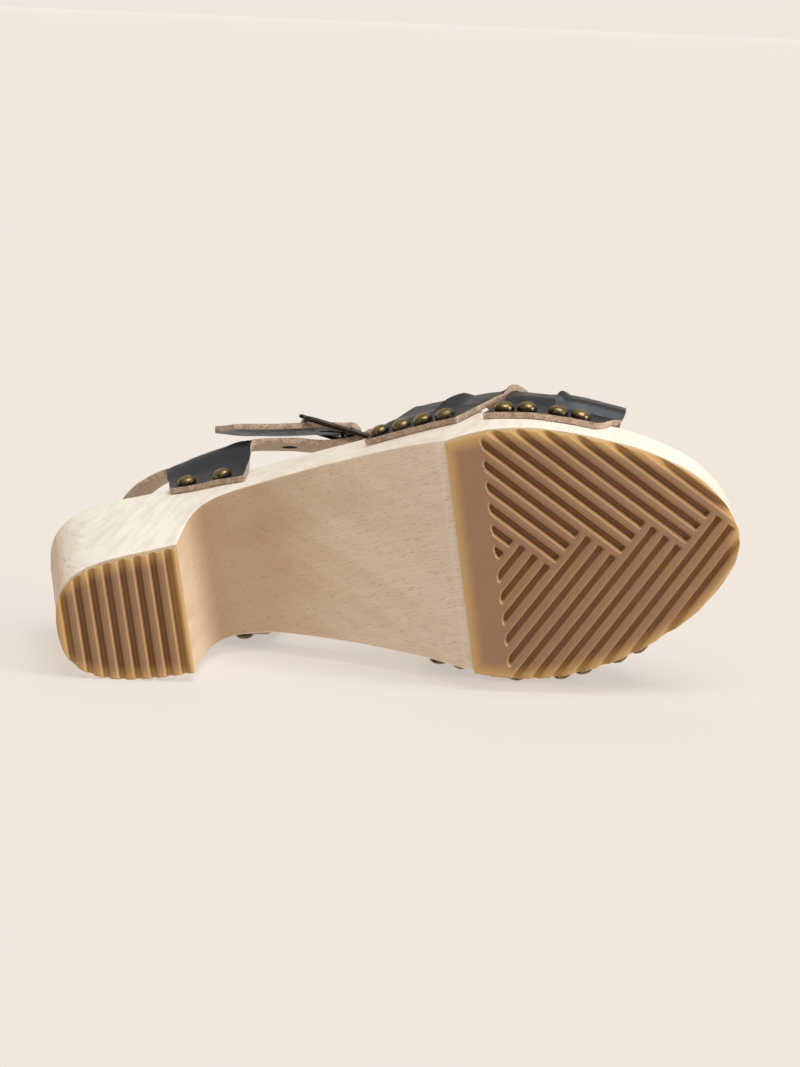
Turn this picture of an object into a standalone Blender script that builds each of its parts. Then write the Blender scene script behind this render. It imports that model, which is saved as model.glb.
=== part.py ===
"""A heeled sandal for the right foot: wooden sole, rubber outsoles, leather straps, dome nails and a buckle.

It is modelled as worn, x from the heel to the toe, y to the inner side and z up from the ground, and an
empty then lays it on its inner side.
"""

import math

import bmesh
import bpy
import numpy as np
from mathutils import Matrix, Vector

MM = 0.001

# Driving sizes of the wood
SOLE_LENGTH = 252 * MM
BALL_WIDTH = 93 * MM
SEAT_HEIGHT = 80 * MM
PLATFORM_HEIGHT = 27 * MM
WAIST_DEPTH = 22 * MM
HEEL_BASE_LENGTH = 45.5 * MM
HEEL_LEAN = 8 * MM
FOREFOOT_LENGTH = 100.5 * MM
TOE_SPRING = 6 * MM
TOE_DRAFT = 1.5 * MM
FOOTBED_DISH = 3 * MM
WOOD_EDGE = 1.6 * MM
WALL_DRAFT = 0.05

# Driving sizes of the rubber
HEEL_RUBBER = 5.5 * MM
SOLE_RUBBER = 4.5 * MM
RUBBER_INSET = 0.3 * MM
RUBBER_EDGE = 0.6 * MM
TREAD_PITCH = 5.5 * MM
GROOVE_WIDTH = 3.6 * MM
GROOVE_FLOOR = 2.6 * MM
GROOVE_DEPTH = 1.6 * MM
SMOOTH_BAND = 12 * MM
HEEL_LAND = 3.2 * MM
TREAD_CENTRE = -4 * MM

# Driving sizes of the straps, nails and buckle
LEATHER = 2.2 * MM
STRAP_DROP = 12 * MM
TOE_STRAP_WIDTH = 18.4 * MM
INSTEP_HEIGHT = 46 * MM
TOE_HEIGHT = 25 * MM
WIDEST = 1.25
LIFT_LENGTH = 1.5
ANKLE_STRAP_WIDTH = 16 * MM
ANKLE_STRAP_HEIGHT = 97 * MM
HEEL_STRAP_HALF_WIDTH = 29 * MM
TAB_DROP_REAR = 8.5 * MM
TAB_DROP_FRONT = 15 * MM
NAIL_DIAMETER = 7.3 * MM
NAIL_HEIGHT = 2.6 * MM
NAIL_RISE = 3.9 * MM
NAIL_SPACING = 7.9 * MM
FREE_END_TAPER = 9 * MM
FREE_END_SHARE = 0.7
BUCKLE_WIRE = 2.2 * MM
BUCKLE_REAR = 17.8 * MM
BUCKLE_FRONT = 8.4 * MM
BUCKLE_CORNER = 3 * MM
BUCKLE_TURN = 24.7
BUCKLE_LEAN = 23
PRONG_WIRE = 1.6 * MM
PRONG_SLOT = 11 * MM
STRAP_HOLE_LENGTH = 6 * MM
STRAP_HOLE_HEIGHT = 4.4 * MM

# Fits
CLEARANCE = 0.3 * MM
FUSE = 0.2 * MM
FOLD_GAP = 0.7 * MM
LEAST_FACET = (5 * MM) ** 2
BUCKLE_GAP = 0.9 * MM

WAIST_LENGTH = SOLE_LENGTH - HEEL_LEAN - HEEL_BASE_LENGTH - FOREFOOT_LENGTH
TOE_X = SOLE_LENGTH - HEEL_LEAN
FORE_X = HEEL_BASE_LENGTH + WAIST_LENGTH
SPRING_X = FORE_X + 0.35 * FOREFOOT_LENGTH
ZONES = {
    "heel": (-HEEL_LEAN, HEEL_BASE_LENGTH + HEEL_LEAN),
    "waist": (HEEL_BASE_LENGTH, WAIST_LENGTH),
    "fore": (FORE_X, FOREFOOT_LENGTH),
}

# The top edge of the wood. along: share of the zone's length. outer, inner: shares of the ball width.
# rise: share of the way from the platform's height to the seat's.
STATIONS = (
    # zone, along, outer, inner, rise
    ("heel", 0.000, -0.020, 0.042, 1.03),
    ("heel", 0.018, -0.088, 0.112, 1.03),
    ("heel", 0.065, -0.150, 0.174, 1.02),
    ("heel", 0.155, -0.203, 0.227, 1.01),
    ("heel", 0.300, -0.242, 0.266, 1.00),
    ("heel", 0.520, -0.265, 0.288, 1.00),
    ("heel", 0.770, -0.276, 0.295, 0.99),
    ("heel", 1.000, -0.286, 0.293, 0.985),
    ("waist", 0.036, -0.290, 0.291, 0.98),
    ("waist", 0.060, -0.294, 0.290, 0.978),
    ("waist", 0.095, -0.300, 0.290, 0.972),
    ("waist", 0.150, -0.310, 0.291, 0.96),
    ("waist", 0.270, -0.329, 0.299, 0.915),
    ("waist", 0.400, -0.363, 0.315, 0.81),
    ("waist", 0.546, -0.403, 0.335, 0.66),
    ("waist", 0.709, -0.447, 0.361, 0.477),
    ("waist", 0.842, -0.486, 0.383, 0.321),
    ("waist", 1.000, -0.526, 0.417, 0.151),
    ("fore", 0.065, -0.538, 0.437, 0.094),
    ("fore", 0.164, -0.545, 0.460, 0.038),
    ("fore", 0.284, -0.533, 0.470, 0.004),
    ("fore", 0.413, -0.499, 0.457, -0.008),
    ("fore", 0.542, -0.451, 0.426, 0.000),
    ("fore", 0.662, -0.398, 0.378, 0.019),
    ("fore", 0.771, -0.332, 0.322, 0.045),
    ("fore", 0.861, -0.261, 0.261, 0.074),
    ("fore", 0.930, -0.178, 0.191, 0.096),
    ("fore", 0.975, -0.097, 0.122, 0.113),
    ("fore", 1.000, -0.016, 0.043, 0.123),
)

# The underside of the waist: 0 on the rubber's plane, 1 a waist's depth under the footbed.
UNDERSIDE = (
    # along, share
    (0.000, 0.00),
    (0.034, 0.50),
    (0.058, 0.69),
    (0.095, 0.84),
    (0.150, 0.93),
    (0.270, 1.00),
    (0.546, 1.00),
    (0.709, 0.96),
    (0.842, 0.81),
    (0.923, 0.50),
    (1.000, 0.00),
)

# The front upper over the foot, half a section. side: share of the way from the middle to the wood's edge.
# height: share of the foot's height over the footbed.
ARCH = (
    # side, height
    (1.000, 0.00),
    (1.035, 0.18),
    (1.030, 0.40),
    (0.940, 0.66),
    (0.700, 0.88),
    (0.360, 0.98),
    (0.000, 1.00),
)

# How much further out the toe straps stand on the outer side, as a share of the foot's half width
OUTER_SPREAD = (
    # along the forefoot, share
    (-0.20, -0.045),
    (0.10, -0.035),
    (0.25, 0.000),
    (0.38, 0.010),
    (0.50, 0.050),
    (0.70, 0.055),
)

# Height of the foot under the toe straps: 0 the toe height, 1 the instep height
FOOT_RISE = (
    # along the forefoot, share
    (-0.40, 1.20),
    (0.00, 1.00),
    (0.35, 0.35),
    (0.70, 0.00),
)

# The share of a toe strap's half that lies on the wood's side, and how late it starts across
ON_WOOD = 0.16
LATE_START = 0.55

# The four toe straps. outer_start, inner_end: the middles of the strap's ends, as shares of the forefoot.
# bow: how far it swings to the toe on the way. width: share of the toe strap width. nails: how far its outer
# nails lie ahead of its middle. over: the straps that it crosses over.
TOE_STRAPS = (
    # name, outer_start, inner_end, bow, width, nails, over
    ("a", -0.180, 0.354, 0.120, 0.81, 0.000, ("d",)),
    ("b", -0.034, 0.560, 0.155, 0.76, 0.010, ("a", "c")),
    ("c", 0.250, -0.075, 0.160, 0.93, 0.014, ("a",)),
    ("d", 0.426, 0.115, 0.205, 0.92, 0.022, ("c", "b")),
)

# The rear upper's middle line: the free end, from its tip to the fold round the buckle's centre bar.
# along: share of the sole's length ahead of the heel's rubber. across: share of the heel strap's half width.
# high: how far the lower edge lies over the ankle strap's height, as a share of the strap's width.
# lean, facing: how far the strap leans, in degrees, and which way, 0 to the toe and 90 to the inner side.
# tab: 1 where the leather reaches down to the wood.
FREE_END = (
    # along, across, high, lean, facing, tab
    (0.236, -1.505, 0.10, 20, 92, 0),
    (0.290, -1.450, 0.06, 21, 96, 0),
    (0.345, -1.396, 0.03, 22, 104, 0),
    (0.382, -1.369, 0.00, 23, 112, 0),
    (0.410, -1.342, 0.00, 23, 114.7, 0),
)

# Then from that fold round the heel and over the instep to the fold round the front bar.
ROUND_ANKLE = (
    # along, across, high, lean, facing, tab
    (0.400, -1.115, 0.00, 23, 108, 0),
    (0.350, -1.200, 0.00, 23, 96, 0),
    (0.293, -1.245, 0.00, 21, 90, 0),
    (0.274, -1.242, 0.00, 20, 90, 1),
    (0.240, -1.185, 0.00, 18, 90, 1),
    (0.200, -1.105, 0.00, 18, 88, 1),
    (0.167, -1.028, 0.00, 20, 82, 1),
    (0.155, -1.006, 0.00, 21, 78, 0),
    (0.105, -0.830, 0.00, 24, 54, 0),
    (0.080, -0.620, 0.00, 25, 34, 0),
    (0.062, -0.330, 0.00, 25, 14, 0),
    (0.056, 0.020, 0.00, 25, 0, 0),
    (0.062, 0.370, 0.00, 25, -14, 0),
    (0.080, 0.680, 0.00, 25, -34, 0),
    (0.105, 0.890, 0.00, 24, -54, 0),
    (0.155, 1.050, 0.00, 21, -78, 0),
    (0.167, 1.068, 0.00, 20, -82, 1),
    (0.200, 1.110, 0.00, 18, -88, 1),
    (0.240, 1.150, 0.00, 18, -90, 1),
    (0.276, 1.170, 0.00, 20, -92, 1),
    (0.306, 1.150, 0.02, 22, -98, 0),
    (0.380, 0.960, 0.20, 30, -124, 0),
    (0.440, 0.640, 0.40, 38, -150, 0),
    (0.478, 0.240, 0.50, 44, -172, 0),
    (0.490, -0.200, 0.45, 42, -196, 0),
    (0.488, -0.600, 0.25, 34, -220, 0),
    (0.4845, -0.860, 0.09, 27, -236, 0),
)

# And the end that is turned back behind the front bar.
TURNED_END = (
    # along, across, high, lean, facing, tab
    (0.4595, -1.000, 0.00, 23, -245.3, 0),
    (0.4665, -0.830, 0.00, 24, -244, 0),
)

# Where the heel tabs' lower edge starts and ends, the heel nails and the strap's long hole, as shares of
# the sole's length ahead of the heel's rubber
TAB_REAR = 0.167
TAB_FRONT = 0.275
HEEL_NAILS = (0.190, 0.244)
STRAP_HOLE = 0.343

# How far out the free end and the strap under it part, as a share of the heel strap's half width
LAYERS_APART = 1.3

# The buckle's centre bar, as the rear upper's along and across
BUCKLE_PLACE = (0.4385, -1.205)

# Corner of the parquet tread, as a share of the forefoot's length from its rear edge
TREAD_CORNER = 0.445

DENSITY = {"beech": 700, "gum rubber": 1100, "black leather": 950, "antique brass": 8400}


# Curves


def steady(xs, ys, x):
    """A monotone cubic through a table's column, which never overshoots between two rows."""
    xs, ys, x = (np.asarray(values, float) for values in (xs, ys, x))
    step = np.diff(xs)
    slope = np.diff(ys) / step
    tangent = np.zeros_like(ys)
    tangent[0], tangent[-1] = slope[0], slope[-1]
    before, after = 2 * step[1:] + step[:-1], step[1:] + 2 * step[:-1]
    same = slope[:-1] * slope[1:] > 0
    safe = np.where(same[:, None], np.stack([slope[:-1], slope[1:]], 1), 1)
    tangent[1:-1] = np.where(same, (before + after) / (before / safe[:, 0] + after / safe[:, 1]), 0)
    row = np.clip(np.searchsorted(xs, x) - 1, 0, len(xs) - 2)
    t = (x - xs[row]) / step[row]
    return (
        (1 + 2 * t) * (1 - t) ** 2 * ys[row]
        + t * (1 - t) ** 2 * step[row] * tangent[row]
        + t * t * (3 - 2 * t) * ys[row + 1]
        + t * t * (t - 1) * step[row] * tangent[row + 1]
    )


def through(points, steps):
    """A smooth curve through points, with that many pieces between each two of them."""
    points = np.asarray(points, float)
    reach = np.concatenate([[0], np.cumsum(np.linalg.norm(np.diff(points[:, :2], axis=0), axis=1))])
    tangent = np.gradient(points, reach, axis=0)
    found = []
    for row in range(len(points) - 1):
        span = reach[row + 1] - reach[row]
        for t in np.arange(steps) / steps:
            found.append(
                (1 + 2 * t) * (1 - t) ** 2 * points[row]
                + t * (1 - t) ** 2 * span * tangent[row]
                + t * t * (3 - 2 * t) * points[row + 1]
                + t * t * (t - 1) * span * tangent[row + 1]
            )
    return np.array(found + [points[-1]])


def ease(value):
    """0 to 1 with level ends."""
    value = np.clip(value, 0, 1)
    return value * value * (3 - 2 * value)


# The form of the wood

ROW = np.arange(len(STATIONS))
ROW_X = np.array([ZONES[zone][0] + along * ZONES[zone][1] for zone, along, *_ in STATIONS])
ROW_OUTER, ROW_INNER, ROW_RISE = (np.array([row[column] for row in STATIONS]) for column in (2, 3, 4))
DENSE = np.linspace(0, len(STATIONS) - 1, 8 * len(STATIONS))
DENSE_X = steady(ROW, ROW_X, DENSE)


def spring(x):
    """How far the underside rises towards the toe."""
    return TOE_SPRING * max(0, (x - SPRING_X) / (TOE_X - SPRING_X)) ** 2


def rubber_top(x):
    """Height of the rubber's plane under the wood."""
    share = np.clip((x - HEEL_BASE_LENGTH) / WAIST_LENGTH, 0, 1)
    return HEEL_RUBBER + share * (SOLE_RUBBER - HEEL_RUBBER) + spring(x)


def top_edge(at):
    """x, outer y, inner y and z of the wood's top edge at a station."""
    rise = float(steady(ROW, ROW_RISE, at))
    return (
        float(steady(ROW, ROW_X, at)),
        float(steady(ROW, ROW_OUTER, at)) * BALL_WIDTH,
        float(steady(ROW, ROW_INNER, at)) * BALL_WIDTH,
        PLATFORM_HEIGHT + rise * (SEAT_HEIGHT - PLATFORM_HEIGHT),
    )


def top_at(x):
    """The same at a place along the shoe."""
    return top_edge(np.interp(x, DENSE_X, DENSE))


def under(x, top):
    """Height of the wood's underside."""
    along, share = zip(*UNDERSIDE)
    depth = steady(along, share, np.clip((x - HEEL_BASE_LENGTH) / WAIST_LENGTH, 0, 1))
    flat = rubber_top(x)
    return flat + float(depth) * (top - WAIST_DEPTH - flat)


def drawn_in(y, depth):
    """A side's y that far under the top edge."""
    return y * (1 - WALL_DRAFT * depth / max(abs(y), BALL_WIDTH / 4))


def base_edge(at):
    """x, outer y, inner y and z of the wood's bottom edge at a station."""
    x, outer, inner, top = top_edge(at)
    low = under(x, top)
    share = np.clip((x + HEEL_LEAN) / (HEEL_BASE_LENGTH + HEEL_LEAN), 0, 1)
    toe = max(0, (x - SPRING_X) / (TOE_X - SPRING_X)) ** 2
    shift = HEEL_LEAN * (1 - share) - TOE_DRAFT * toe
    return x + shift, drawn_in(outer, top - low), drawn_in(inner, top - low), low


def wall_y(x, z, side):
    """y of the wood's side at a height, outer side -1, inner side 1."""
    _, outer, inner, top = top_at(x)
    return drawn_in(outer if side < 0 else inner, max(0, top - z))


# Mesh making


def material(name, colour, roughness, metallic=0.0):
    made = bpy.data.materials.new(name)
    made.use_nodes = True
    shader = made.node_tree.nodes["Principled BSDF"]
    shader.inputs["Base Color"].default_value = (*colour, 1)
    shader.inputs["Roughness"].default_value = roughness
    shader.inputs["Metallic"].default_value = metallic
    return made


def add_object(name, bm, look, sharp=35):
    """A new object from a bmesh, shaded smooth with its hard edges kept."""
    mesh = bpy.data.meshes.new(name)
    bmesh.ops.recalc_face_normals(bm, faces=bm.faces)
    bm.to_mesh(mesh)
    bm.free()
    mesh.shade_smooth()
    mesh.set_sharp_from_angle(angle=math.radians(sharp))
    mesh.materials.append(look)
    made = bpy.data.objects.new(name, mesh)
    bpy.context.scene.collection.objects.link(made)
    return made


def bake(made):
    """Puts the result of an object's modifiers into its mesh."""
    graph = bpy.context.evaluated_depsgraph_get()
    mesh = bpy.data.meshes.new_from_object(made.evaluated_get(graph))
    made.modifiers.clear()
    made.data = mesh


def combine(made, tool, operation):
    """A Boolean with a tool that is removed afterwards."""
    cut = made.modifiers.new(operation.lower(), "BOOLEAN")
    cut.operation = operation
    cut.object = tool
    tool.hide_render = True
    tool.display_type = "WIRE"
    bake(made)
    bpy.data.objects.remove(tool)


def loft(bm, rings):
    """Closes a row of rings, each with the same number of points, into one body with flat ends."""
    rows = [[bm.verts.new(point) for point in ring] for ring in rings]
    for one, two in zip(rows, rows[1:]):
        for here in range(len(one)):
            after = (here + 1) % len(one)
            bm.faces.new((one[here], one[after], two[after], two[here]))
    bm.faces.new(reversed(rows[0]))
    bm.faces.new(rows[-1])


def grid(bm, points):
    """A sheet from rows of points."""
    rows = [[bm.verts.new(point) for point in row] for row in points]
    for one, two in zip(rows, rows[1:]):
        for here in range(len(one) - 1):
            bm.faces.new((one[here], one[here + 1], two[here + 1], two[here]))


def chamfered(corners, cut, splits):
    """A ring round four corners, with each corner cut and each side split into so many pieces."""
    ring = []
    for here, corner in enumerate(corners):
        before, after = corners[here - 1], corners[(here + 1) % 4]
        start = corner + (before - corner).normalized() * min(cut, 0.3 * (before - corner).length)
        leave = corner + (after - corner).normalized() * min(cut, 0.3 * (after - corner).length)
        ring += [start, leave]
        enter = after + (corner - after).normalized() * min(cut, 0.3 * (corner - after).length)
        ring += [leave.lerp(enter, step / splits[here]) for step in range(1, splits[here])]
    return ring


def add_box(bm, centre, spans):
    """A box from three directions, each with its near and far end."""
    (one, near, far), (two, low, high), (three, back, front) = spans
    corners = ((near, low), (far, low), (far, high), (near, high))
    loft(bm, [[centre + three * depth + one * a + two * b for a, b in corners] for depth in (back, front)])


# Sub-parts


def wooden_sole(look):
    bm = bmesh.new()
    rings = []
    for at in np.arange(0, len(STATIONS) - 0.5, 0.5):
        x, outer, inner, top = top_edge(at)
        base_x, base_outer, base_inner, low = base_edge(at)
        corners = [
            Vector((x, outer, top)),
            Vector((x, inner, top)),
            Vector((base_x, base_inner, low)),
            Vector((base_x, base_outer, low)),
        ]
        ring = chamfered(corners, WOOD_EDGE, (6, 2, 2, 2))
        middle, half = (outer + inner) / 2, (inner - outer) / 2
        dish = FOOTBED_DISH * min(1, 4 * half / BALL_WIDTH) ** 2
        for point in ring[1:9]:
            point.z -= dish * max(0, 1 - ((point.y - middle) / half) ** 2)
        rings.append(ring)
    loft(bm, rings)
    return add_object("wooden_sole", bm, look)


def rubber_plate(name, first, last, look):
    """A rubber sheet under the wood between two stations."""
    bm = bmesh.new()
    rings = []
    for at in np.arange(first, last + 0.25, 0.5):
        x, outer, inner, low = base_edge(at)
        outer, inner = outer + RUBBER_INSET, inner - RUBBER_INSET
        corners = [
            Vector((x, outer, low - CLEARANCE)),
            Vector((x, inner, low - CLEARANCE)),
            Vector((x, inner, spring(x))),
            Vector((x, outer, spring(x))),
        ]
        rings.append(chamfered(corners, RUBBER_EDGE, (1, 1, 1, 1)))
    loft(bm, rings)
    return add_object(name, bm, look)


def add_groove(bm, start, end, soft_start):
    """A cutter for one groove of the tread between two points on the ground."""
    start, end = Vector(start), Vector(end)
    along = (end - start).normalized()
    aside = Vector((-along.y, along.x))
    pieces = max(2, round((end - start).length / (2 * TREAD_PITCH)))
    places = [start.lerp(end, step / pieces) for step in range(pieces + 1)]
    sizes = [1.0] * len(places)
    if soft_start:
        places.insert(1, start + along * GROOVE_WIDTH / 3)
        sizes = [0.45] + [1.0] * (len(places) - 1)
    rings = []
    for place, size in zip(places, sizes):
        floor = spring(place.x) + GROOVE_DEPTH * size
        mouth = spring(place.x) - GROOVE_DEPTH
        spread = GROOVE_WIDTH + (GROOVE_WIDTH - GROOVE_FLOOR)
        ring = []
        for width, z in ((spread, mouth), (GROOVE_FLOOR, floor)):
            for hand in (-1, 1) if z == mouth else (1, -1):
                point = place + aside * hand * width * size / 2
                ring.append((point.x, point.y, z))
        rings.append(ring)
    loft(bm, rings)


def cut_grooves(made, bm, look):
    combine(made, add_object(made.name + "_grooves", bm, look), "DIFFERENCE")
    return made


def heel_lift(look):
    made = rubber_plate("heel_lift", 0, 7, look)
    bm = bmesh.new()
    x = HEEL_BASE_LENGTH - HEEL_LAND
    while x > TREAD_PITCH / 2:
        add_groove(bm, (x, -BALL_WIDTH / 2), (x, BALL_WIDTH / 2), False)
        x -= TREAD_PITCH
    return cut_grooves(made, bm, look)


def forefoot_outsole(look):
    """Grooves in groups of three, at right angles, that meet in steps along the middle."""
    made = rubber_plate("forefoot_outsole", 17, len(STATIONS) - 1, look)
    bm = bmesh.new()
    slant = math.sqrt(0.5)
    corner = Vector((FORE_X + TREAD_CORNER * FOREFOOT_LENGTH, TREAD_CENTRE - TREAD_PITCH))
    outward = Vector((slant, slant)), Vector((slant, -slant))
    start_x = FORE_X + SMOOTH_BAND
    groups = math.ceil(FOREFOOT_LENGTH / (3 * TREAD_PITCH)) + 1
    ridge = (TREAD_PITCH - GROOVE_WIDTH) / 2
    for run, side, behind in ((outward[0], outward[1], 0), (outward[1], outward[0], 1)):
        for group in range(-groups, groups):
            for line in range(3):
                across = 3 * TREAD_PITCH * (group - 1) + TREAD_PITCH * (line + 0.5)
                stop = 3 * TREAD_PITCH * (group - behind) - ridge
                end = corner + side * across + run * stop
                start = end - run * BALL_WIDTH
                soft = start.x < start_x
                if soft:
                    start = end - run * (end.x - start_x) / run.x
                if end.x < start_x + TREAD_PITCH / 2 or start.x > TOE_X:
                    continue
                add_groove(bm, start, end, soft)
    return cut_grooves(made, bm, look)


# The front upper


def along_forefoot(x):
    return (x - FORE_X) / FOREFOOT_LENGTH


def column(table, value):
    """The second column of a table of two, at a value of the first."""
    first, second = zip(*table)
    return float(steady(first, second, np.clip(value, first[0], first[-1])))


def foot_height(x):
    """Height of the toe straps' inside over the footbed."""
    return TOE_HEIGHT + column(FOOT_RISE, along_forefoot(x)) * (INSTEP_HEIGHT - TOE_HEIGHT)


def vamp(x, t):
    """A point of the toe straps' inner face. t runs from the outer side's wood, 0, to the inner side's, 1."""
    _, outer, inner, top = top_at(x)
    half_t = min(t, 1 - t) * 2
    side = -1 if t < 0.5 else 1
    if half_t < ON_WOOD:
        z = top - STRAP_DROP * (1 - half_t / ON_WOOD)
        return Vector((x, wall_y(x, z, side) + side * CLEARANCE, z))
    sides, heights = zip(*ARCH)
    place = (half_t - ON_WOOD) / (1 - ON_WOOD) * (len(ARCH) - 1)
    rows = np.arange(len(ARCH))
    middle, half = (outer + inner) / 2, (inner - outer) / 2 + CLEARANCE
    share = float(steady(rows, sides, place))
    if side < 0:
        share += column(OUTER_SPREAD, along_forefoot(x)) * float(ease(place)) * share
    height = float(steady(rows, heights, place)) * foot_height(x)
    return Vector((x, middle + side * share * half, top + height))


def strap_middle(strap, t):
    """x of a toe strap's middle line."""
    _, start, end, bow, *_ = strap
    crossed = t - LATE_START * math.sin(2 * math.pi * t) / (2 * math.pi)
    swing = 27 / 4 * t * (1 - t) ** 2
    return FORE_X + (start + (end - start) * crossed + bow * swing) * FOREFOOT_LENGTH


def strap_half(strap, t):
    """Half of a toe strap's width along x, more where the strap runs aslant."""
    step = 0.01
    before, after = max(0, t - step), min(1, t + step)
    one, two = strap_middle(strap, before), strap_middle(strap, after)
    run = vamp(one, before) - vamp(two, after)
    return strap[4] * TOE_STRAP_WIDTH / 2 * min(WIDEST, run.length / math.hypot(run.y, run.z))


def strap_lift(strap, x, t):
    """How far a toe strap is raised by those that it crosses over."""
    step = LEATHER * LIFT_LENGTH
    lift = 0
    for other in TOE_STRAPS:
        if other[0] in strap[6]:
            distance = abs(x - strap_middle(other, t)) - strap_half(other, t)
            lift = max(lift, float(ease((step - distance) / step)))
    half_t = min(t, 1 - t) * 2
    return lift * float(ease(half_t / ON_WOOD - 1)) * (LEATHER - FUSE)


def toe_strap(strap, look, pieces=28, rows=5):
    bm = bmesh.new()
    points = []
    for t in np.linspace(0, 1, pieces + 1):
        line = []
        before, after = max(0, t - 0.01), min(1, t + 0.01)
        for across in np.linspace(-1, 1, rows):
            x = strap_middle(strap, t) + across * strap_half(strap, t)
            out = (vamp(x + MM, t) - vamp(x - MM, t)).cross(vamp(x, after) - vamp(x, before))
            line.append(vamp(x, t) + out.normalized() * strap_lift(strap, x, t))
        points.append(line)
    grid(bm, points)
    made = add_object("toe_strap_" + strap[0], bm, look)
    wall = made.modifiers.new("wall", "SOLIDIFY")
    wall.thickness = LEATHER
    wall.offset = 1
    wall.use_even_offset = True
    bake(made)
    return made


def toe_straps(look):
    straps = [toe_strap(strap, look) for strap in TOE_STRAPS]
    made = straps[0]
    for other in straps[1:]:
        combine(made, other, "UNION")
    made.name = "toe_straps"
    return made


# The rear upper


def buckle_axes():
    """The buckle's directions: forward along it, up it and outward."""
    turn, lean = math.radians(BUCKLE_TURN), math.radians(BUCKLE_LEAN)
    forward = Vector((math.cos(turn), math.sin(turn), 0))
    up = Vector((-math.sin(turn) * math.sin(lean), math.cos(turn) * math.sin(lean), math.cos(lean)))
    return forward, up, forward.cross(up)


def bar_foot(shift):
    """Where a bar of the buckle, so far ahead of the centre bar, meets the straps' lower edge."""
    along, across = BUCKLE_PLACE
    foot = Vector((along * SOLE_LENGTH, across * HEEL_STRAP_HALF_WIDTH, ANKLE_STRAP_HEIGHT))
    return foot + buckle_axes()[0] * shift


def fold(shift, start, stop, turns):
    """Rows of the strap's middle line round a bar of the buckle, between two directions in degrees."""
    foot = bar_foot(shift)
    radius = BUCKLE_WIRE / 2 + FOLD_GAP + LEATHER / 2
    rows = []
    for angle in np.radians(np.linspace(start, stop, 7)):
        x, y = foot.x + radius * math.cos(angle), foot.y + radius * math.sin(angle)
        rows.append((x, y, 0, BUCKLE_LEAN, 90 + BUCKLE_TURN - 360 * turns, 0))
    return rows


def sized(table):
    return [
        (along * SOLE_LENGTH, across * HEEL_STRAP_HALF_WIDTH, high * ANKLE_STRAP_WIDTH, lean, facing, tab)
        for along, across, high, lean, facing, tab in table
    ]


def ankle_rows(steps):
    """x, y, high, lean, facing and tab along the rear upper's middle line, at its lower edge."""
    rows = sized(FREE_END) + fold(0, -105, 100, 0) + sized(ROUND_ANKLE)
    return through(rows + fold(BUCKLE_FRONT, 5, -190, 1) + sized(TURNED_END), steps)


def tab_foot(x):
    """Height of the heel tabs' lower edge."""
    share = np.clip((x / SOLE_LENGTH - TAB_REAR) / (TAB_FRONT - TAB_REAR), 0, 1)
    return top_at(x)[3] - TAB_DROP_REAR - share * (TAB_DROP_FRONT - TAB_DROP_REAR)


def ankle_strap(look, steps=2, tab_rows=4, strap_rows=4):
    bm = bmesh.new()
    path = ankle_rows(steps)
    reach = np.concatenate([[0], np.cumsum(np.linalg.norm(np.diff(path[:, :2], axis=0), axis=1))])
    points = []
    rows = tab_rows + strap_rows
    for (x, y, high, lean, facing, tab), distance in zip(path, reach):
        side = -1 if y < 0 else 1
        slope = math.tan(math.radians(lean))
        aside = Vector((math.cos(math.radians(facing)), math.sin(math.radians(facing)), 0)) * slope
        low = ANKLE_STRAP_HEIGHT + high
        height = ANKLE_STRAP_WIDTH * math.cos(math.radians(lean))
        taper = height / 2 * (1 - ease(distance / FREE_END_TAPER)) * FREE_END_SHARE
        wood_top = top_at(x)[3]
        foot = tab_foot(x)
        line = []
        for row in range(rows + 1):
            strap_z = low + taper + (height - 2 * taper) * row / rows
            if row < tab_rows:
                tab_z = foot + (low - foot) * row / tab_rows
            else:
                tab_z = low + height * (row - tab_rows) / strap_rows
            z = strap_z + (tab_z - strap_z) * float(ease(tab))
            spot = Vector((x, y, z)) + aside * max(0, z - low)
            if z < low:
                wall = wall_y(x, min(z, wood_top), side) + side * (CLEARANCE + LEATHER / 2)
                spot.y += (wall - y) * float(ease((low - z) / (low - wood_top)))
            line.append(spot)
        points.append(line)
    grid(bm, points)
    made = add_object("ankle_strap", bm, look)
    wall = made.modifiers.new("wall", "SOLIDIFY")
    wall.thickness = LEATHER
    wall.offset = 0
    wall.use_even_offset = True
    bake(made)
    forward, up, out = buckle_axes()
    centre = bar_foot(0) + up * ANKLE_STRAP_WIDTH / 2
    slot = PRONG_WIRE / 2 + CLEARANCE
    for spans in (
        ((forward, -PRONG_SLOT, 0), (up, -slot, slot), (out, -LEATHER, 2 * LEATHER)),
        ((forward, -LEATHER, 2 * LEATHER), (up, -slot, slot), (out, -2.5 * LEATHER, 2 * LEATHER)),
    ):
        bm = bmesh.new()
        add_box(bm, centre, spans)
        combine(made, add_object("slot", bm, look), "DIFFERENCE")
    combine(made, strap_hole(path, look), "DIFFERENCE")
    return made


def strap_hole(path, look):
    """A cutter for the oval hole in the strap that runs under the free end."""
    x = STRAP_HOLE * SOLE_LENGTH
    inner = path[path[:, 1] > -LAYERS_APART * HEEL_STRAP_HALF_WIDTH]
    here = inner[inner[:, 1] < 0]
    here = here[np.argsort(abs(here[:, 0] - x))[0]]
    low = ANKLE_STRAP_HEIGHT + here[2]
    slope = math.tan(math.radians(here[3]))
    middle = ANKLE_STRAP_WIDTH * math.cos(math.radians(here[3])) / 2
    rings = []
    for depth in (-2 * LEATHER, 2 * LEATHER):
        ring = []
        for turn in np.linspace(0, 2 * math.pi, 12, endpoint=False):
            up = middle + STRAP_HOLE_HEIGHT / 2 * math.sin(turn)
            y = here[1] + up * slope + depth
            ring.append((x + STRAP_HOLE_LENGTH / 2 * math.cos(turn), y, low + up))
        rings.append(ring)
    bm = bmesh.new()
    loft(bm, rings)
    return add_object("hole", bm, look)


# Nails and buckle


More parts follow.
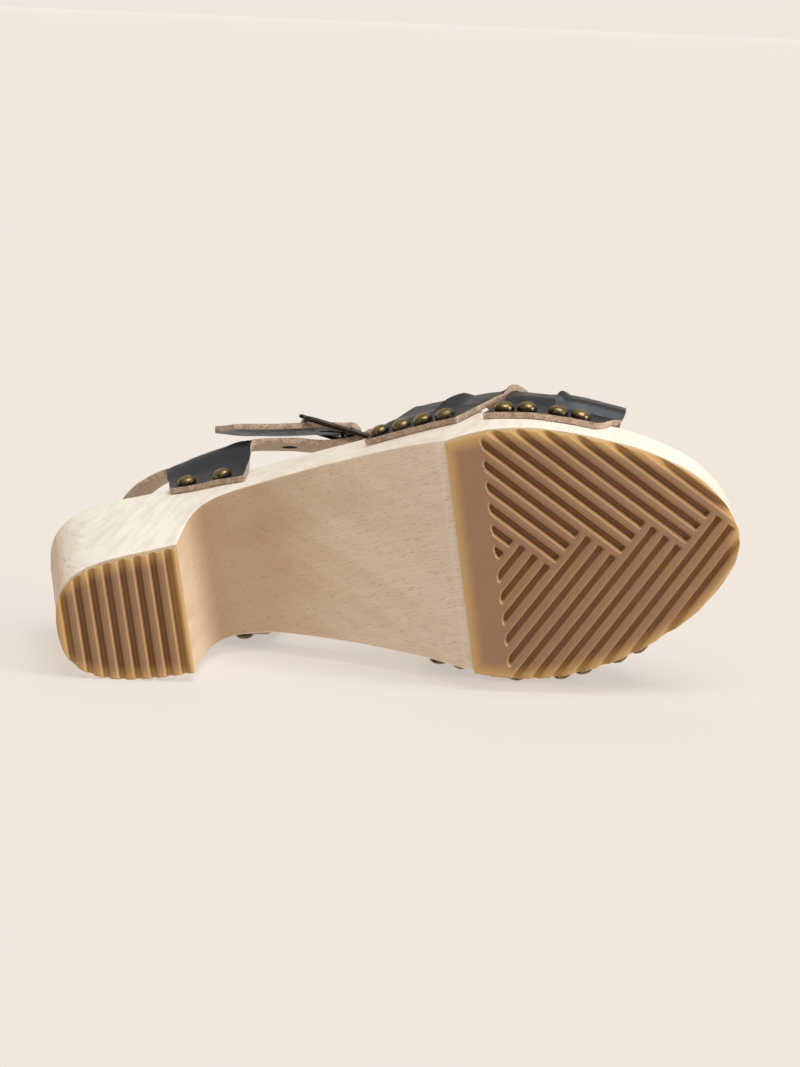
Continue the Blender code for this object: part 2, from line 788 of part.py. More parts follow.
def tube(bm, path, reference, radius, closed=False, sides=8):
    """A round wire along a flat path. reference is square to the path's plane."""
    count = len(path)
    rings = []
    for here, point in enumerate(path):
        before = path[here - 1] if closed or here else point
        after = path[(here + 1) % count] if closed or here < count - 1 else point
        across = (after - before).cross(reference).normalized()
        turns = [2 * math.pi * step / sides for step in range(sides)]
        rings.append(
            [point + (reference * math.cos(turn) + across * math.sin(turn)) * radius for turn in turns]
        )
    if not closed:
        loft(bm, rings)
        return
    rows = [[bm.verts.new(point) for point in ring] for ring in rings]
    for one, two in zip(rows, rows[1:] + rows[:1]):
        for side in range(sides):
            after = (side + 1) % sides
            bm.faces.new((one[side], one[after], two[after], two[side]))


def buckle_frame(look):
    forward, up, out = buckle_axes()
    centre = bar_foot(0) + up * ANKLE_STRAP_WIDTH / 2
    half = ANKLE_STRAP_WIDTH / 2 + BUCKLE_GAP + BUCKLE_WIRE / 2
    radius = BUCKLE_WIRE / 2
    path = []
    corners = (
        # along, high, start of the turn
        (BUCKLE_FRONT, half, 0),
        (-BUCKLE_REAR, half, 90),
        (-BUCKLE_REAR, -half, 180),
        (BUCKLE_FRONT, -half, 270),
    )
    for along, high, start in corners:
        inset_along = along - math.copysign(BUCKLE_CORNER, along)
        inset_high = high - math.copysign(BUCKLE_CORNER, high)
        for angle in np.radians(np.linspace(start, start + 90, 5)):
            place_along = inset_along + BUCKLE_CORNER * math.cos(angle)
            place_high = inset_high + BUCKLE_CORNER * math.sin(angle)
            path.append(centre + forward * place_along + up * place_high)
    bm = bmesh.new()
    tube(bm, path, out, radius, closed=True)
    made = add_object("buckle_frame", bm, look)
    bm = bmesh.new()
    tube(bm, [centre - up * half, centre + up * half], out, radius)
    combine(made, add_object("centre_bar", bm, look), "UNION")
    return made


def buckle_prong(look):
    """The prong's hook round the centre bar and its shank, which rests on the rear bar."""
    forward, up, out = buckle_axes()
    centre = bar_foot(0) + up * ANKLE_STRAP_WIDTH / 2
    reach = BUCKLE_WIRE / 2 + CLEARANCE + PRONG_WIRE / 2
    path = []
    for angle in np.radians(np.linspace(-190, 90, 11)):
        path.append(centre + forward * reach * math.cos(angle) + out * reach * math.sin(angle))
    path += [centre + out * reach - forward * along for along in (BUCKLE_REAR / 2, BUCKLE_REAR + BUCKLE_WIRE)]
    bm = bmesh.new()
    tube(bm, path, up, PRONG_WIRE / 2)
    return add_object("buckle_prong", bm, look)


def nail_mesh(look):
    """A dome nail's head, its flat back on the leather."""
    bm = bmesh.new()
    radius = NAIL_DIAMETER / 2
    profile = ((1.0, 0.0), (0.97, 0.30), (0.72, 0.72), (0.36, 0.94), (0.0, 1.0))
    line = [bm.verts.new((share * radius, 0, height * NAIL_HEIGHT)) for share, height in profile]
    edges = [bm.edges.new(pair) for pair in zip(line, line[1:])]
    bmesh.ops.spin(
        bm, geom=line + edges, axis=(0, 0, 1), cent=(0, 0, 0), steps=10, angle=2 * math.pi, use_merge=True
    )
    bmesh.ops.remove_doubles(bm, verts=bm.verts, dist=0.01 * MM)
    bmesh.ops.holes_fill(bm, edges=[edge for edge in bm.edges if edge.is_boundary], sides=0)
    made = add_object("nail", bm, look)
    mesh = made.data
    bpy.data.objects.remove(made)
    return mesh


def add_nail(name, mesh, x, z, side):
    """A nail's head on the leather that lies on the wood's side."""
    reach = LEATHER + 2 * CLEARANCE
    slope = (wall_y(x + MM, z, side) - wall_y(x - MM, z, side)) / (2 * MM)
    made = bpy.data.objects.new(name, mesh)
    made.location = (x, wall_y(x, z, side) + side * reach, z)
    made.rotation_mode = "QUATERNION"
    made.rotation_quaternion = Vector((-side * slope, side, -WALL_DRAFT)).to_track_quat("Z", "Y")
    bpy.context.scene.collection.objects.link(made)


def toe_nails(mesh):
    """Two nails in each end of each toe strap."""
    for side, word in ((-1, "lateral"), (1, "medial")):
        end = (1 + side) / 2
        middles = [strap_middle(strap, end) + strap[5] * (1 - end) * FOREFOOT_LENGTH for strap in TOE_STRAPS]
        places = [middle + shift * NAIL_SPACING / 2 for middle in middles for shift in (-1, 1)]
        for count, x in enumerate(sorted(places), 1):
            add_nail(f"toe_nail_{word}_{count}", mesh, x, top_at(x)[3] - STRAP_DROP + NAIL_RISE, side)


def heel_nails(mesh):
    for side, word in ((-1, "lateral"), (1, "medial")):
        for count, share in enumerate(HEEL_NAILS, 1):
            x = share * SOLE_LENGTH
            add_nail(f"heel_nail_{word}_{count}", mesh, x, tab_foot(x) + NAIL_RISE, side)


# The pose


def solid_points(made):
    """An object's triangles in the scene, as an array of three corners each."""
    graph = bpy.context.evaluated_depsgraph_get()
    mesh = bpy.data.meshes.new_from_object(made.evaluated_get(graph))
    mesh.calc_loop_triangles()
    points = np.array([made.matrix_world @ vertex.co for vertex in mesh.vertices]).reshape(-1, 3)
    triangles = np.array([triangle.vertices for triangle in mesh.loop_triangles], int).reshape(-1, 3)
    bpy.data.meshes.remove(mesh)
    return points[triangles]


def mass_centre(bodies):
    """Centre of mass of the shoe, from each body's triangles and density."""
    total, moment = 0, np.zeros(3)
    for triangles, density in bodies:
        one, two, three = triangles[:, 0], triangles[:, 1], triangles[:, 2]
        volumes = np.einsum("ij,ij->i", one, np.cross(two, three)) / 6 * density
        total += volumes.sum()
        moment += (volumes[:, None] * (one + two + three) / 4).sum(axis=0)
    return moment / total


def resting_side(points, centre):
    """Normal of the hull's face that the shoe rests on when it lies on its inner side."""
    bm = bmesh.new()
    for point in points:
        bm.verts.new(point)
    bmesh.ops.convex_hull(bm, input=bm.verts)
    found = None
    for face in bm.faces:
        normal = face.normal.copy()
        corners = [vertex.co for vertex in face.verts]
        if (corners[0] - centre).dot(normal) < 0:
            normal.negate()
            corners.reverse()
        foot = centre + normal * (corners[0] - centre).dot(normal)
        inside = all(
            (after - before).cross(foot - before).dot(normal) >= 0
            for before, after in zip(corners, corners[1:] + corners[:1])
        )
        if inside and normal.y > math.sqrt(0.5) and face.calc_area() > LEAST_FACET:
            found = normal
    bm.free()
    return found


def lay_down():
    """Lays the shoe on its inner side on the ground, its length along x, its bounds' middle over 0."""
    bpy.context.view_layer.update()
    shoe = [made for made in bpy.data.objects if made.type == "MESH"]
    bodies = [(solid_points(made), DENSITY[made.data.materials[0].name]) for made in shoe]
    points = np.unique(np.concatenate([triangles.reshape(-1, 3) for triangles, _ in bodies]), axis=0)
    down = resting_side(points, Vector(mass_centre(bodies)))
    ahead = (Vector((1, 0, 0)) - down * down.x).normalized()
    rows = Matrix((ahead, (-down).cross(ahead), -down))
    laid = points @ np.array(rows).T
    near, far = laid.min(axis=0), laid.max(axis=0)
    shift = -Vector(((near[0] + far[0]) / 2, (near[1] + far[1]) / 2, near[2]))
    pose = bpy.data.objects.new("pose", None)
    bpy.context.scene.collection.objects.link(pose)
    pose.matrix_world = Matrix.Translation(shift) @ rows.to_4x4()
    for made in shoe:
        made.parent = pose


def main():
    for old in list(bpy.data.objects):
        bpy.data.objects.remove(old)
    wood = material("beech", (0.83, 0.66, 0.47), 0.55)
    rubber = material("gum rubber", (0.36, 0.19, 0.08), 0.5)
    leather = material("black leather", (0.02, 0.02, 0.022), 0.4)
    brass = material("antique brass", (0.35, 0.26, 0.1), 0.35, 1.0)
    wooden_sole(wood)
    heel_lift(rubber)
    forefoot_outsole(rubber)
    toe_straps(leather)
    ankle_strap(leather)
    nail = nail_mesh(brass)
    toe_nails(nail)
    heel_nails(nail)
    buckle_frame(brass)
    buckle_prong(brass)
    lay_down()


main()
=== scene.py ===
"""Looks of the wooden sole sandal: every piece is rebuilt finer than its solid and gets its material.

Pieces are made as the shoe is worn, x from the heel to the toe, y to the inner side and z up from the
ground, and POSE then lays them on their inner side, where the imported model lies.
"""

import functools
import math

import bmesh
import bpy
import numpy as np
from mathutils import Matrix, Vector, noise


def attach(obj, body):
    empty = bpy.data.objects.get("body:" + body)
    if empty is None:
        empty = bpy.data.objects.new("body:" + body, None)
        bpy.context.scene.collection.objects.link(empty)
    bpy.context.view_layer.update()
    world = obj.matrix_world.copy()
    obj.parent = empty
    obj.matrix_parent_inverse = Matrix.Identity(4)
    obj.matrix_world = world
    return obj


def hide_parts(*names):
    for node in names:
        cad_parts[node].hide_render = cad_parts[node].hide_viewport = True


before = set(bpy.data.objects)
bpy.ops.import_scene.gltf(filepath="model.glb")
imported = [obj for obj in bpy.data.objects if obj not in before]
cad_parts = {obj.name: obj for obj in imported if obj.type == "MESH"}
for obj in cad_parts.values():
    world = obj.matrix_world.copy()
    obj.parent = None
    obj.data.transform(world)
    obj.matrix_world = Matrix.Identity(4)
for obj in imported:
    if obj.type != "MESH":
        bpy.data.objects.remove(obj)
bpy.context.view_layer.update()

MM = 0.001

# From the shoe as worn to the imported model
POSE = Matrix((
    (0.985553, 0.168916, -0.012401, -0.115753),
    (0.0, 0.073221, 0.997316, -0.056986),
    (0.16937, -0.982907, 0.072163, 0.018419),
    (0.0, 0.0, 0.0, 1.0),
))

# The photo's camera, seen from the shoe as worn
VIEW_DISTANCE = 1.1
VIEW_PITCH = 14
VIEW_ROLL = 7.5
VIEW_TARGET = Vector((123.5, -15.1, 0)) * MM
PIXELS_PER_MM = 2.86
PHOTO_HEIGHT = 1067
SENSOR = 36
VIEW_SHIFT = 6.5 / PHOTO_HEIGHT

# Sizes of the wood
SOLE_LENGTH = 252 * MM
BALL_WIDTH = 93 * MM
SEAT_HEIGHT = 80 * MM
PLATFORM_HEIGHT = 27 * MM
WAIST_DEPTH = 22 * MM
HEEL_BASE_LENGTH = 45.5 * MM
HEEL_LEAN = 8 * MM
FOREFOOT_LENGTH = 100.5 * MM
TOE_SPRING = 6 * MM
TOE_DRAFT = 1.5 * MM
FOOTBED_DISH = 3 * MM
WOOD_EDGE = 1.6 * MM
RAW_STRIP = 3.5 * MM
WALL_DRAFT = 0.05

# Sizes of the rubber
HEEL_RUBBER = 5.5 * MM
SOLE_RUBBER = 4.5 * MM
RUBBER_INSET = 0.3 * MM
TREAD_PITCH = 5.5 * MM
GROOVE_WIDTH = 3.7 * MM
GROOVE_FLOOR = 0.6 * MM
GROOVE_DEPTH = 2.2 * MM
GROOVE_LIP = 0.15 * MM
RIM_GLOW = 6 * MM
SMOOTH_BAND = 12 * MM
HEEL_LAND = 3.2 * MM
TREAD_CENTRE = -4 * MM
TREAD_CORNER = 0.445

# Sizes of the straps, nails and buckle
LEATHER = 2.2 * MM
STRAP_DROP = 12 * MM
TOE_STRAP_WIDTH = 18.4 * MM
INSTEP_HEIGHT = 46 * MM
TOE_HEIGHT = 25 * MM
WIDEST = 1.25
LIFT_LENGTH = 1.5
ANKLE_STRAP_WIDTH = 16 * MM
ANKLE_STRAP_HEIGHT = 97 * MM
HEEL_STRAP_HALF_WIDTH = 29 * MM
TAB_DROP_REAR = 8.5 * MM
TAB_DROP_FRONT = 15 * MM
NAIL_DIAMETER = 7.3 * MM
NAIL_HEIGHT = 2.6 * MM
NAIL_RISE = 3.9 * MM
NAIL_SPACING = 7.9 * MM
FREE_END_TAPER = 9 * MM
FREE_END_SHARE = 0.7
BUCKLE_WIRE = 2.2 * MM
BUCKLE_REAR = 17.8 * MM
BUCKLE_FRONT = 8.4 * MM
BUCKLE_CORNER = 3 * MM
BUCKLE_TURN = 24.7
BUCKLE_LEAN = 23
PRONG_WIRE = 1.6 * MM
PRONG_SLOT = 11 * MM
STRAP_HOLE_LENGTH = 6 * MM
STRAP_HOLE_HEIGHT = 4.4 * MM
CLEARANCE = 0.3 * MM
FOLD_GAP = 0.7 * MM
BUCKLE_GAP = 0.9 * MM

WAIST_LENGTH = SOLE_LENGTH - HEEL_LEAN - HEEL_BASE_LENGTH - FOREFOOT_LENGTH
TOE_X = SOLE_LENGTH - HEEL_LEAN
FORE_X = HEEL_BASE_LENGTH + WAIST_LENGTH
SPRING_X = FORE_X + 0.35 * FOREFOOT_LENGTH
ZONES = {
    "heel": (-HEEL_LEAN, HEEL_BASE_LENGTH + HEEL_LEAN),
    "waist": (HEEL_BASE_LENGTH, WAIST_LENGTH),
    "fore": (FORE_X, FOREFOOT_LENGTH),
}

# The top edge of the wood. along: share of the zone's length. outer, inner: shares of the ball width.
# rise: share of the way from the platform's height to the seat's.
STATIONS = (
    # zone, along, outer, inner, rise
    ("heel", 0.000, -0.020, 0.042, 1.03),
    ("heel", 0.018, -0.088, 0.112, 1.03),
    ("heel", 0.065, -0.150, 0.174, 1.02),
    ("heel", 0.155, -0.203, 0.227, 1.01),
    ("heel", 0.300, -0.242, 0.266, 1.00),
    ("heel", 0.520, -0.265, 0.288, 1.00),
    ("heel", 0.770, -0.276, 0.295, 0.99),
    ("heel", 1.000, -0.286, 0.293, 0.985),
    ("waist", 0.036, -0.290, 0.291, 0.98),
    ("waist", 0.060, -0.294, 0.290, 0.978),
    ("waist", 0.095, -0.300, 0.290, 0.972),
    ("waist", 0.150, -0.310, 0.291, 0.96),
    ("waist", 0.270, -0.329, 0.299, 0.915),
    ("waist", 0.400, -0.363, 0.315, 0.81),
    ("waist", 0.546, -0.403, 0.335, 0.66),
    ("waist", 0.709, -0.447, 0.361, 0.477),
    ("waist", 0.842, -0.486, 0.383, 0.321),
    ("waist", 1.000, -0.526, 0.417, 0.151),
    ("fore", 0.065, -0.538, 0.437, 0.094),
    ("fore", 0.164, -0.545, 0.460, 0.038),
    ("fore", 0.284, -0.533, 0.470, 0.004),
    ("fore", 0.413, -0.499, 0.457, -0.008),
    ("fore", 0.542, -0.451, 0.426, 0.000),
    ("fore", 0.662, -0.398, 0.378, 0.019),
    ("fore", 0.771, -0.332, 0.322, 0.045),
    ("fore", 0.861, -0.261, 0.261, 0.074),
    ("fore", 0.930, -0.178, 0.191, 0.096),
    ("fore", 0.975, -0.097, 0.122, 0.113),
    ("fore", 1.000, -0.016, 0.043, 0.123),
)

# The underside of the waist: 0 on the rubber's plane, 1 a waist's depth under the footbed.
UNDERSIDE = (
    # along, share
    (0.000, 0.00),
    (0.034, 0.50),
    (0.058, 0.69),
    (0.095, 0.84),
    (0.150, 0.93),
    (0.270, 1.00),
    (0.546, 1.00),
    (0.709, 0.96),
    (0.842, 0.81),
    (0.923, 0.50),
    (1.000, 0.00),
)

# The front upper over the foot, half a section. side: share of the way from the middle to the wood's edge.
# height: share of the foot's height over the footbed.
ARCH = (
    # side, height
    (1.000, 0.00),
    (1.035, 0.18),
    (1.030, 0.40),
    (0.940, 0.66),
    (0.700, 0.88),
    (0.360, 0.98),
    (0.000, 1.00),
)

# How much further out the toe straps stand on the outer side, as a share of the foot's half width
OUTER_SPREAD = (
    # along the forefoot, share
    (-0.20, -0.045),
    (0.10, -0.035),
    (0.25, 0.000),
    (0.38, 0.010),
    (0.50, 0.050),
    (0.70, 0.055),
)

# Height of the foot under the toe straps: 0 the toe height, 1 the instep height
FOOT_RISE = (
    # along the forefoot, share
    (-0.40, 1.20),
    (0.00, 1.00),
    (0.35, 0.35),
    (0.70, 0.00),
)

# The share of a toe strap's half that lies on the wood's side, and how late it starts across
ON_WOOD = 0.16
# The front strap laps so far over the one behind it, past where its solid ends
LAPPED = "d"
LAP = 3 * MM
LATE_START = 0.55

# The four toe straps. outer_start, inner_end: the middles of the strap's ends, as shares of the forefoot.
# bow: how far it swings to the toe on the way. width: share of the toe strap width. nails: how far its outer
# nails lie ahead of its middle. over: the straps that it crosses over.
TOE_STRAPS = (
    # name, outer_start, inner_end, bow, width, nails, over
    ("a", -0.180, 0.354, 0.120, 0.81, 0.000, ("d",)),
    ("b", -0.034, 0.560, 0.155, 0.76, 0.010, ("a", "c")),
    ("c", 0.250, -0.075, 0.160, 0.93, 0.014, ("a",)),
    ("d", 0.426, 0.115, 0.205, 0.92, 0.022, ("c", "b")),
)

# The rear upper's middle line: the free end, from its tip to the fold round the buckle's centre bar.
# along: share of the sole's length ahead of the heel's rubber. across: share of the heel strap's half width.
# high: how far the lower edge lies over the ankle strap's height, as a share of the strap's width.
# lean, facing: how far the strap leans, in degrees, and which way, 0 to the toe and 90 to the inner side.
# tab: 1 where the leather reaches down to the wood.
FREE_END = (
    # along, across, high, lean, facing, tab
    (0.236, -1.505, 0.10, 20, 92, 0),
    (0.290, -1.450, 0.06, 21, 96, 0),
    (0.345, -1.396, 0.03, 22, 104, 0),
    (0.382, -1.369, 0.00, 23, 112, 0),
    (0.410, -1.342, 0.00, 23, 114.7, 0),
)

# Then from that fold round the heel and over the instep to the fold round the front bar.
ROUND_ANKLE = (
    # along, across, high, lean, facing, tab
    (0.400, -1.115, 0.00, 23, 108, 0),
    (0.350, -1.200, 0.00, 23, 96, 0),
    (0.293, -1.245, 0.00, 21, 90, 0),
    (0.274, -1.242, 0.00, 20, 90, 1),
    (0.240, -1.185, 0.00, 18, 90, 1),
    (0.200, -1.105, 0.00, 18, 88, 1),
    (0.167, -1.028, 0.00, 20, 82, 1),
    (0.155, -1.006, 0.00, 21, 78, 0),
    (0.105, -0.830, 0.00, 24, 54, 0),
    (0.080, -0.620, 0.00, 25, 34, 0),
    (0.062, -0.330, 0.00, 25, 14, 0),
    (0.056, 0.020, 0.00, 25, 0, 0),
    (0.062, 0.370, 0.00, 25, -14, 0),
    (0.080, 0.680, 0.00, 25, -34, 0),
    (0.105, 0.890, 0.00, 24, -54, 0),
    (0.155, 1.050, 0.00, 21, -78, 0),
    (0.167, 1.068, 0.00, 20, -82, 1),
    (0.200, 1.110, 0.00, 18, -88, 1),
    (0.240, 1.150, 0.00, 18, -90, 1),
    (0.276, 1.170, 0.00, 20, -92, 1),
    (0.306, 1.150, 0.02, 22, -98, 0),
    (0.380, 0.960, 0.20, 30, -124, 0),
    (0.440, 0.640, 0.40, 38, -150, 0),
    (0.478, 0.240, 0.50, 44, -172, 0),
    (0.490, -0.200, 0.45, 42, -196, 0),
    (0.488, -0.600, 0.25, 34, -220, 0),
    (0.4845, -0.860, 0.09, 27, -236, 0),
)

# And the end that is turned back behind the front bar.
TURNED_END = (
    # along, across, high, lean, facing, tab
    (0.4595, -1.000, 0.00, 23, -245.3, 0),
    (0.4665, -0.830, 0.00, 24, -244, 0),
)

# Where the heel tabs' lower edge starts and ends, the heel nails and the strap's long hole, as shares of
# the sole's length ahead of the heel's rubber
TAB_REAR = 0.167
TAB_FRONT = 0.275
HEEL_NAILS = (0.190, 0.244)
STRAP_HOLE = 0.343

# How far out the free end and the strap under it part, as a share of the heel strap's half width
LAYERS_APART = 1.3

# The buckle's centre bar, as the rear upper's along and across
BUCKLE_PLACE = (0.4385, -1.205)


# Curves


def steady(xs, ys, x):
    """A monotone cubic through a table's column, which never overshoots between two rows."""
    xs, ys, x = (np.asarray(values, float) for values in (xs, ys, x))
    step = np.diff(xs)
    slope = np.diff(ys) / step
    tangent = np.zeros_like(ys)
    tangent[0], tangent[-1] = slope[0], slope[-1]
    before, after = 2 * step[1:] + step[:-1], step[1:] + 2 * step[:-1]
    same = slope[:-1] * slope[1:] > 0
    safe = np.where(same[:, None], np.stack([slope[:-1], slope[1:]], 1), 1)
    tangent[1:-1] = np.where(same, (before + after) / (before / safe[:, 0] + after / safe[:, 1]), 0)
    row = np.clip(np.searchsorted(xs, x) - 1, 0, len(xs) - 2)
    t = (x - xs[row]) / step[row]
    return (
        (1 + 2 * t) * (1 - t) ** 2 * ys[row]
        + t * (1 - t) ** 2 * step[row] * tangent[row]
        + t * t * (3 - 2 * t) * ys[row + 1]
        + t * t * (t - 1) * step[row] * tangent[row + 1]
    )


def through(points, steps):
    """A smooth curve through points, with that many pieces between each two of them."""
    points = np.asarray(points, float)
    reach = np.concatenate([[0], np.cumsum(np.linalg.norm(np.diff(points[:, :2], axis=0), axis=1))])
    tangent = np.gradient(points, reach, axis=0)
    found = []
    for row in range(len(points) - 1):
        span = reach[row + 1] - reach[row]
        for t in np.arange(steps) / steps:
            found.append(
                (1 + 2 * t) * (1 - t) ** 2 * points[row]
                + t * (1 - t) ** 2 * span * tangent[row]
                + t * t * (3 - 2 * t) * points[row + 1]
                + t * t * (t - 1) * span * tangent[row + 1]
            )
    return np.array(found + [points[-1]])


def ease(value):
    """0 to 1 with level ends."""
    value = np.clip(value, 0, 1)
    return value * value * (3 - 2 * value)


# The form of the wood

ROW = np.arange(len(STATIONS))
ROW_X = np.array([ZONES[zone][0] + along * ZONES[zone][1] for zone, along, *_ in STATIONS])
ROW_OUTER, ROW_INNER, ROW_RISE = (np.array([row[column] for row in STATIONS]) for column in (2, 3, 4))
# The station that ends the heel and the one that starts the forefoot
HEEL_END = 7
FOREFOOT_START = 17
DENSE = np.linspace(0, len(STATIONS) - 1, 8 * len(STATIONS))
DENSE_X = steady(ROW, ROW_X, DENSE)


def spring(x):
    """How far the underside rises towards the toe."""
    return TOE_SPRING * max(0, (x - SPRING_X) / (TOE_X - SPRING_X)) ** 2


def rubber_top(x):
    """Height of the rubber's plane under the wood."""
    share = np.clip((x - HEEL_BASE_LENGTH) / WAIST_LENGTH, 0, 1)
    return HEEL_RUBBER + share * (SOLE_RUBBER - HEEL_RUBBER) + spring(x)


def top_edge(at):
    """x, outer y, inner y and z of the wood's top edge at a station."""
    rise = float(steady(ROW, ROW_RISE, at))
    return (
        float(steady(ROW, ROW_X, at)),
        float(steady(ROW, ROW_OUTER, at)) * BALL_WIDTH,
        float(steady(ROW, ROW_INNER, at)) * BALL_WIDTH,
        PLATFORM_HEIGHT + rise * (SEAT_HEIGHT - PLATFORM_HEIGHT),
    )


def top_at(x):
    """The same at a place along the shoe."""
    return top_edge(np.interp(x, DENSE_X, DENSE))


def under(x, top):
    """Height of the wood's underside."""
    along, share = zip(*UNDERSIDE)
    depth = steady(along, share, np.clip((x - HEEL_BASE_LENGTH) / WAIST_LENGTH, 0, 1))
    flat = rubber_top(x)
    return flat + float(depth) * (top - WAIST_DEPTH - flat)


def drawn_in(y, depth):
    """A side's y that far under the top edge."""
    return y * (1 - WALL_DRAFT * depth / max(abs(y), BALL_WIDTH / 4))


def base_edge(at):
    """x, outer y, inner y and z of the wood's bottom edge at a station."""
    x, outer, inner, top = top_edge(at)
    low = under(x, top)
    share = np.clip((x + HEEL_LEAN) / (HEEL_BASE_LENGTH + HEEL_LEAN), 0, 1)
    toe = max(0, (x - SPRING_X) / (TOE_X - SPRING_X)) ** 2
    shift = HEEL_LEAN * (1 - share) - TOE_DRAFT * toe
    return x + shift, drawn_in(outer, top - low), drawn_in(inner, top - low), low


def wall_y(x, z, side):
    """y of the wood's side at a height, outer side -1, inner side 1."""
    _, outer, inner, top = top_at(x)
    return drawn_in(outer if side < 0 else inner, max(0, top - z))


# Mesh making


def finish_piece(name, bm, looks, replaced):
    """Makes a mesh piece in the worn frame, lays it down with the shoe and ties it to the model."""
    mesh = bpy.data.meshes.new(name)
    bm.normal_update()
    bm.to_mesh(mesh)
    bm.free()
    mesh.shade_smooth()
    mesh.set_sharp_from_angle(angle=math.radians(50))
    for look in looks:
        mesh.materials.append(look)
    piece = bpy.data.objects.new(name, mesh)
    bpy.context.scene.collection.objects.link(piece)
    mesh.transform(POSE)
    if replaced:
        tie(piece, replaced)
    return piece


def tie(piece, replaced):
    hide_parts(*replaced)
    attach(piece, "root")


def skin(bm, rings, looks=None, ends=(0, 0), values=None, glows=None, closed=False):
    """Joins a row of rings into a closed body. looks gives each side's material, values each point's shade
    and glows each point's glow."""
    shade = bm.verts.layers.float.get("shade") or bm.verts.layers.float.new("shade")
    glow = bm.verts.layers.float.get("glow") or bm.verts.layers.float.new("glow")
    rows = []
    for number, ring in enumerate(rings):
        row = [bm.verts.new(point) for point in ring]
        if values is not None:
            for vertex, value in zip(row, values[number]):
                vertex[shade] = value
        if glows is not None:
            for vertex, value in zip(row, glows[number]):
                vertex[glow] = value
        rows.append(row)
    pairs = list(zip(rows, rows[1:] + rows[:1])) if closed else list(zip(rows, rows[1:]))
    for one, two in pairs:
        for here in range(len(one)):
            after = (here + 1) % len(one)
            face = bm.faces.new((one[here], one[after], two[after], two[here]))
            face.material_index = looks[here] if looks else 0
    if not closed:
        for row, look in ((rows[0][::-1], ends[0]), (rows[-1], ends[1])):
            bm.faces.new(row).material_index = look


def outward(bm):
    bmesh.ops.recalc_face_normals(bm, faces=bm.faces)


def cut_away(piece, cutter):
    """Takes a cutter's shape out of a piece."""
    step = piece.modifiers.new("cut", "BOOLEAN")
    step.operation = "DIFFERENCE"
    step.object = cutter
    graph = bpy.context.evaluated_depsgraph_get()
    mesh = bpy.data.meshes.new_from_object(piece.evaluated_get(graph))
    piece.modifiers.clear()
    piece.data = mesh
    bpy.data.objects.remove(cutter)


def rough(point, size, depth, seed=0):
    """A soft random amount at a point."""
    return noise.noise(Vector(point) / size + Vector((seed, 0, 0))) * depth


# Materials


def new_look(name, roughness, metallic=0.0, coat=0.0):
    look = bpy.data.materials.new(name)
    look.use_nodes = True
    shader = look.node_tree.nodes["Principled BSDF"]
    shader.inputs["Metallic"].default_value = metallic
    shader.inputs["Roughness"].default_value = roughness
    shader.inputs["Coat Weight"].default_value = coat
    shader.inputs["Coat Roughness"].default_value = 0.25
    return look, look.node_tree, shader


def node(tree, kind, settings=None, **inputs):
    """A node with its settings. An input is a value or another node's output."""
    made = tree.nodes.new(kind)
    for name, value in (settings or {}).items():
        setattr(made, name, value)
    for name, value in inputs.items():
        key = int(name[1:]) if name[0] == "i" and name[1:].isdigit() else name.replace("_", " ")
        if isinstance(value, bpy.types.NodeSocket):
            tree.links.new(value, made.inputs[key])
        else:
            made.inputs[key].default_value = value
    return made


def ramp(tree, fac, *stops):
    made = node(tree, "ShaderNodeValToRGB", Fac=fac)
    while len(made.color_ramp.elements) < len(stops):
        made.color_ramp.elements.new(0.5)
    for element, (place, colour) in zip(made.color_ramp.elements, stops):
        element.position = place
        element.color = (*colour, 1) if isinstance(colour, tuple) else (colour, colour, colour, 1)
    return made.outputs["Color"]


def mix(tree, fac, one, two, kind="MIX"):
    made = node(tree, "ShaderNodeMix", {"data_type": "RGBA", "blend_type": kind})
    for place, value in ((0, fac), (6, one), (7, two)):
        if isinstance(value, bpy.types.NodeSocket):
            tree.links.new(value, made.inputs[place])
        else:
            made.inputs[place].default_value = (*value, 1) if isinstance(value, tuple) else value
    return made.outputs[2]


def worn_place(tree, turn=0.0, scale=(1, 1, 1)):
    """Coordinates in the worn shoe's frame, turned about its upright axis and scaled, in metres."""
    coords = node(tree, "ShaderNodeTexCoord").outputs["Object"]
    back = POSE.inverted()
    angles = back.to_euler("XYZ")
    laid = node(
        tree, "ShaderNodeMapping", {"vector_type": "POINT"}, Vector=coords, Location=back.translation,
        Rotation=tuple(angles),
    ).outputs[0]
    turned = node(tree, "ShaderNodeMapping", Vector=laid, Rotation=(0, 0, math.radians(turn)))
    return node(tree, "ShaderNodeMapping", Vector=turned.outputs[0], Scale=scale).outputs[0]


def bump(tree, shader, height, depth, strength=1.0):
    made = node(tree, "ShaderNodeBump", Height=height, Distance=depth, Strength=strength)
    tree.links.new(made.outputs[0], shader.inputs["Normal"])


def math_node(tree, operation, one, two=0.0):
    return node(tree, "ShaderNodeMath", {"operation": operation}, i0=one, i1=two).outputs[0]


def soft_noise(tree, turn, size, detail):
    """Noise in the worn shoe's frame, with so many cells to the metre along each axis."""
    place = worn_place(tree, turn, size)
    return node(tree, "ShaderNodeTexNoise", Vector=place, Scale=1.0, Detail=detail).outputs["Fac"]


# Lengths over which the wood's colour ramps run from 0 to 1, from the heel forward
WOOD_RAMP = 200 * MM
TOE_RAMP = 250 * MM
# The grain runs aslant, so many degrees
GRAIN_TURN = 15


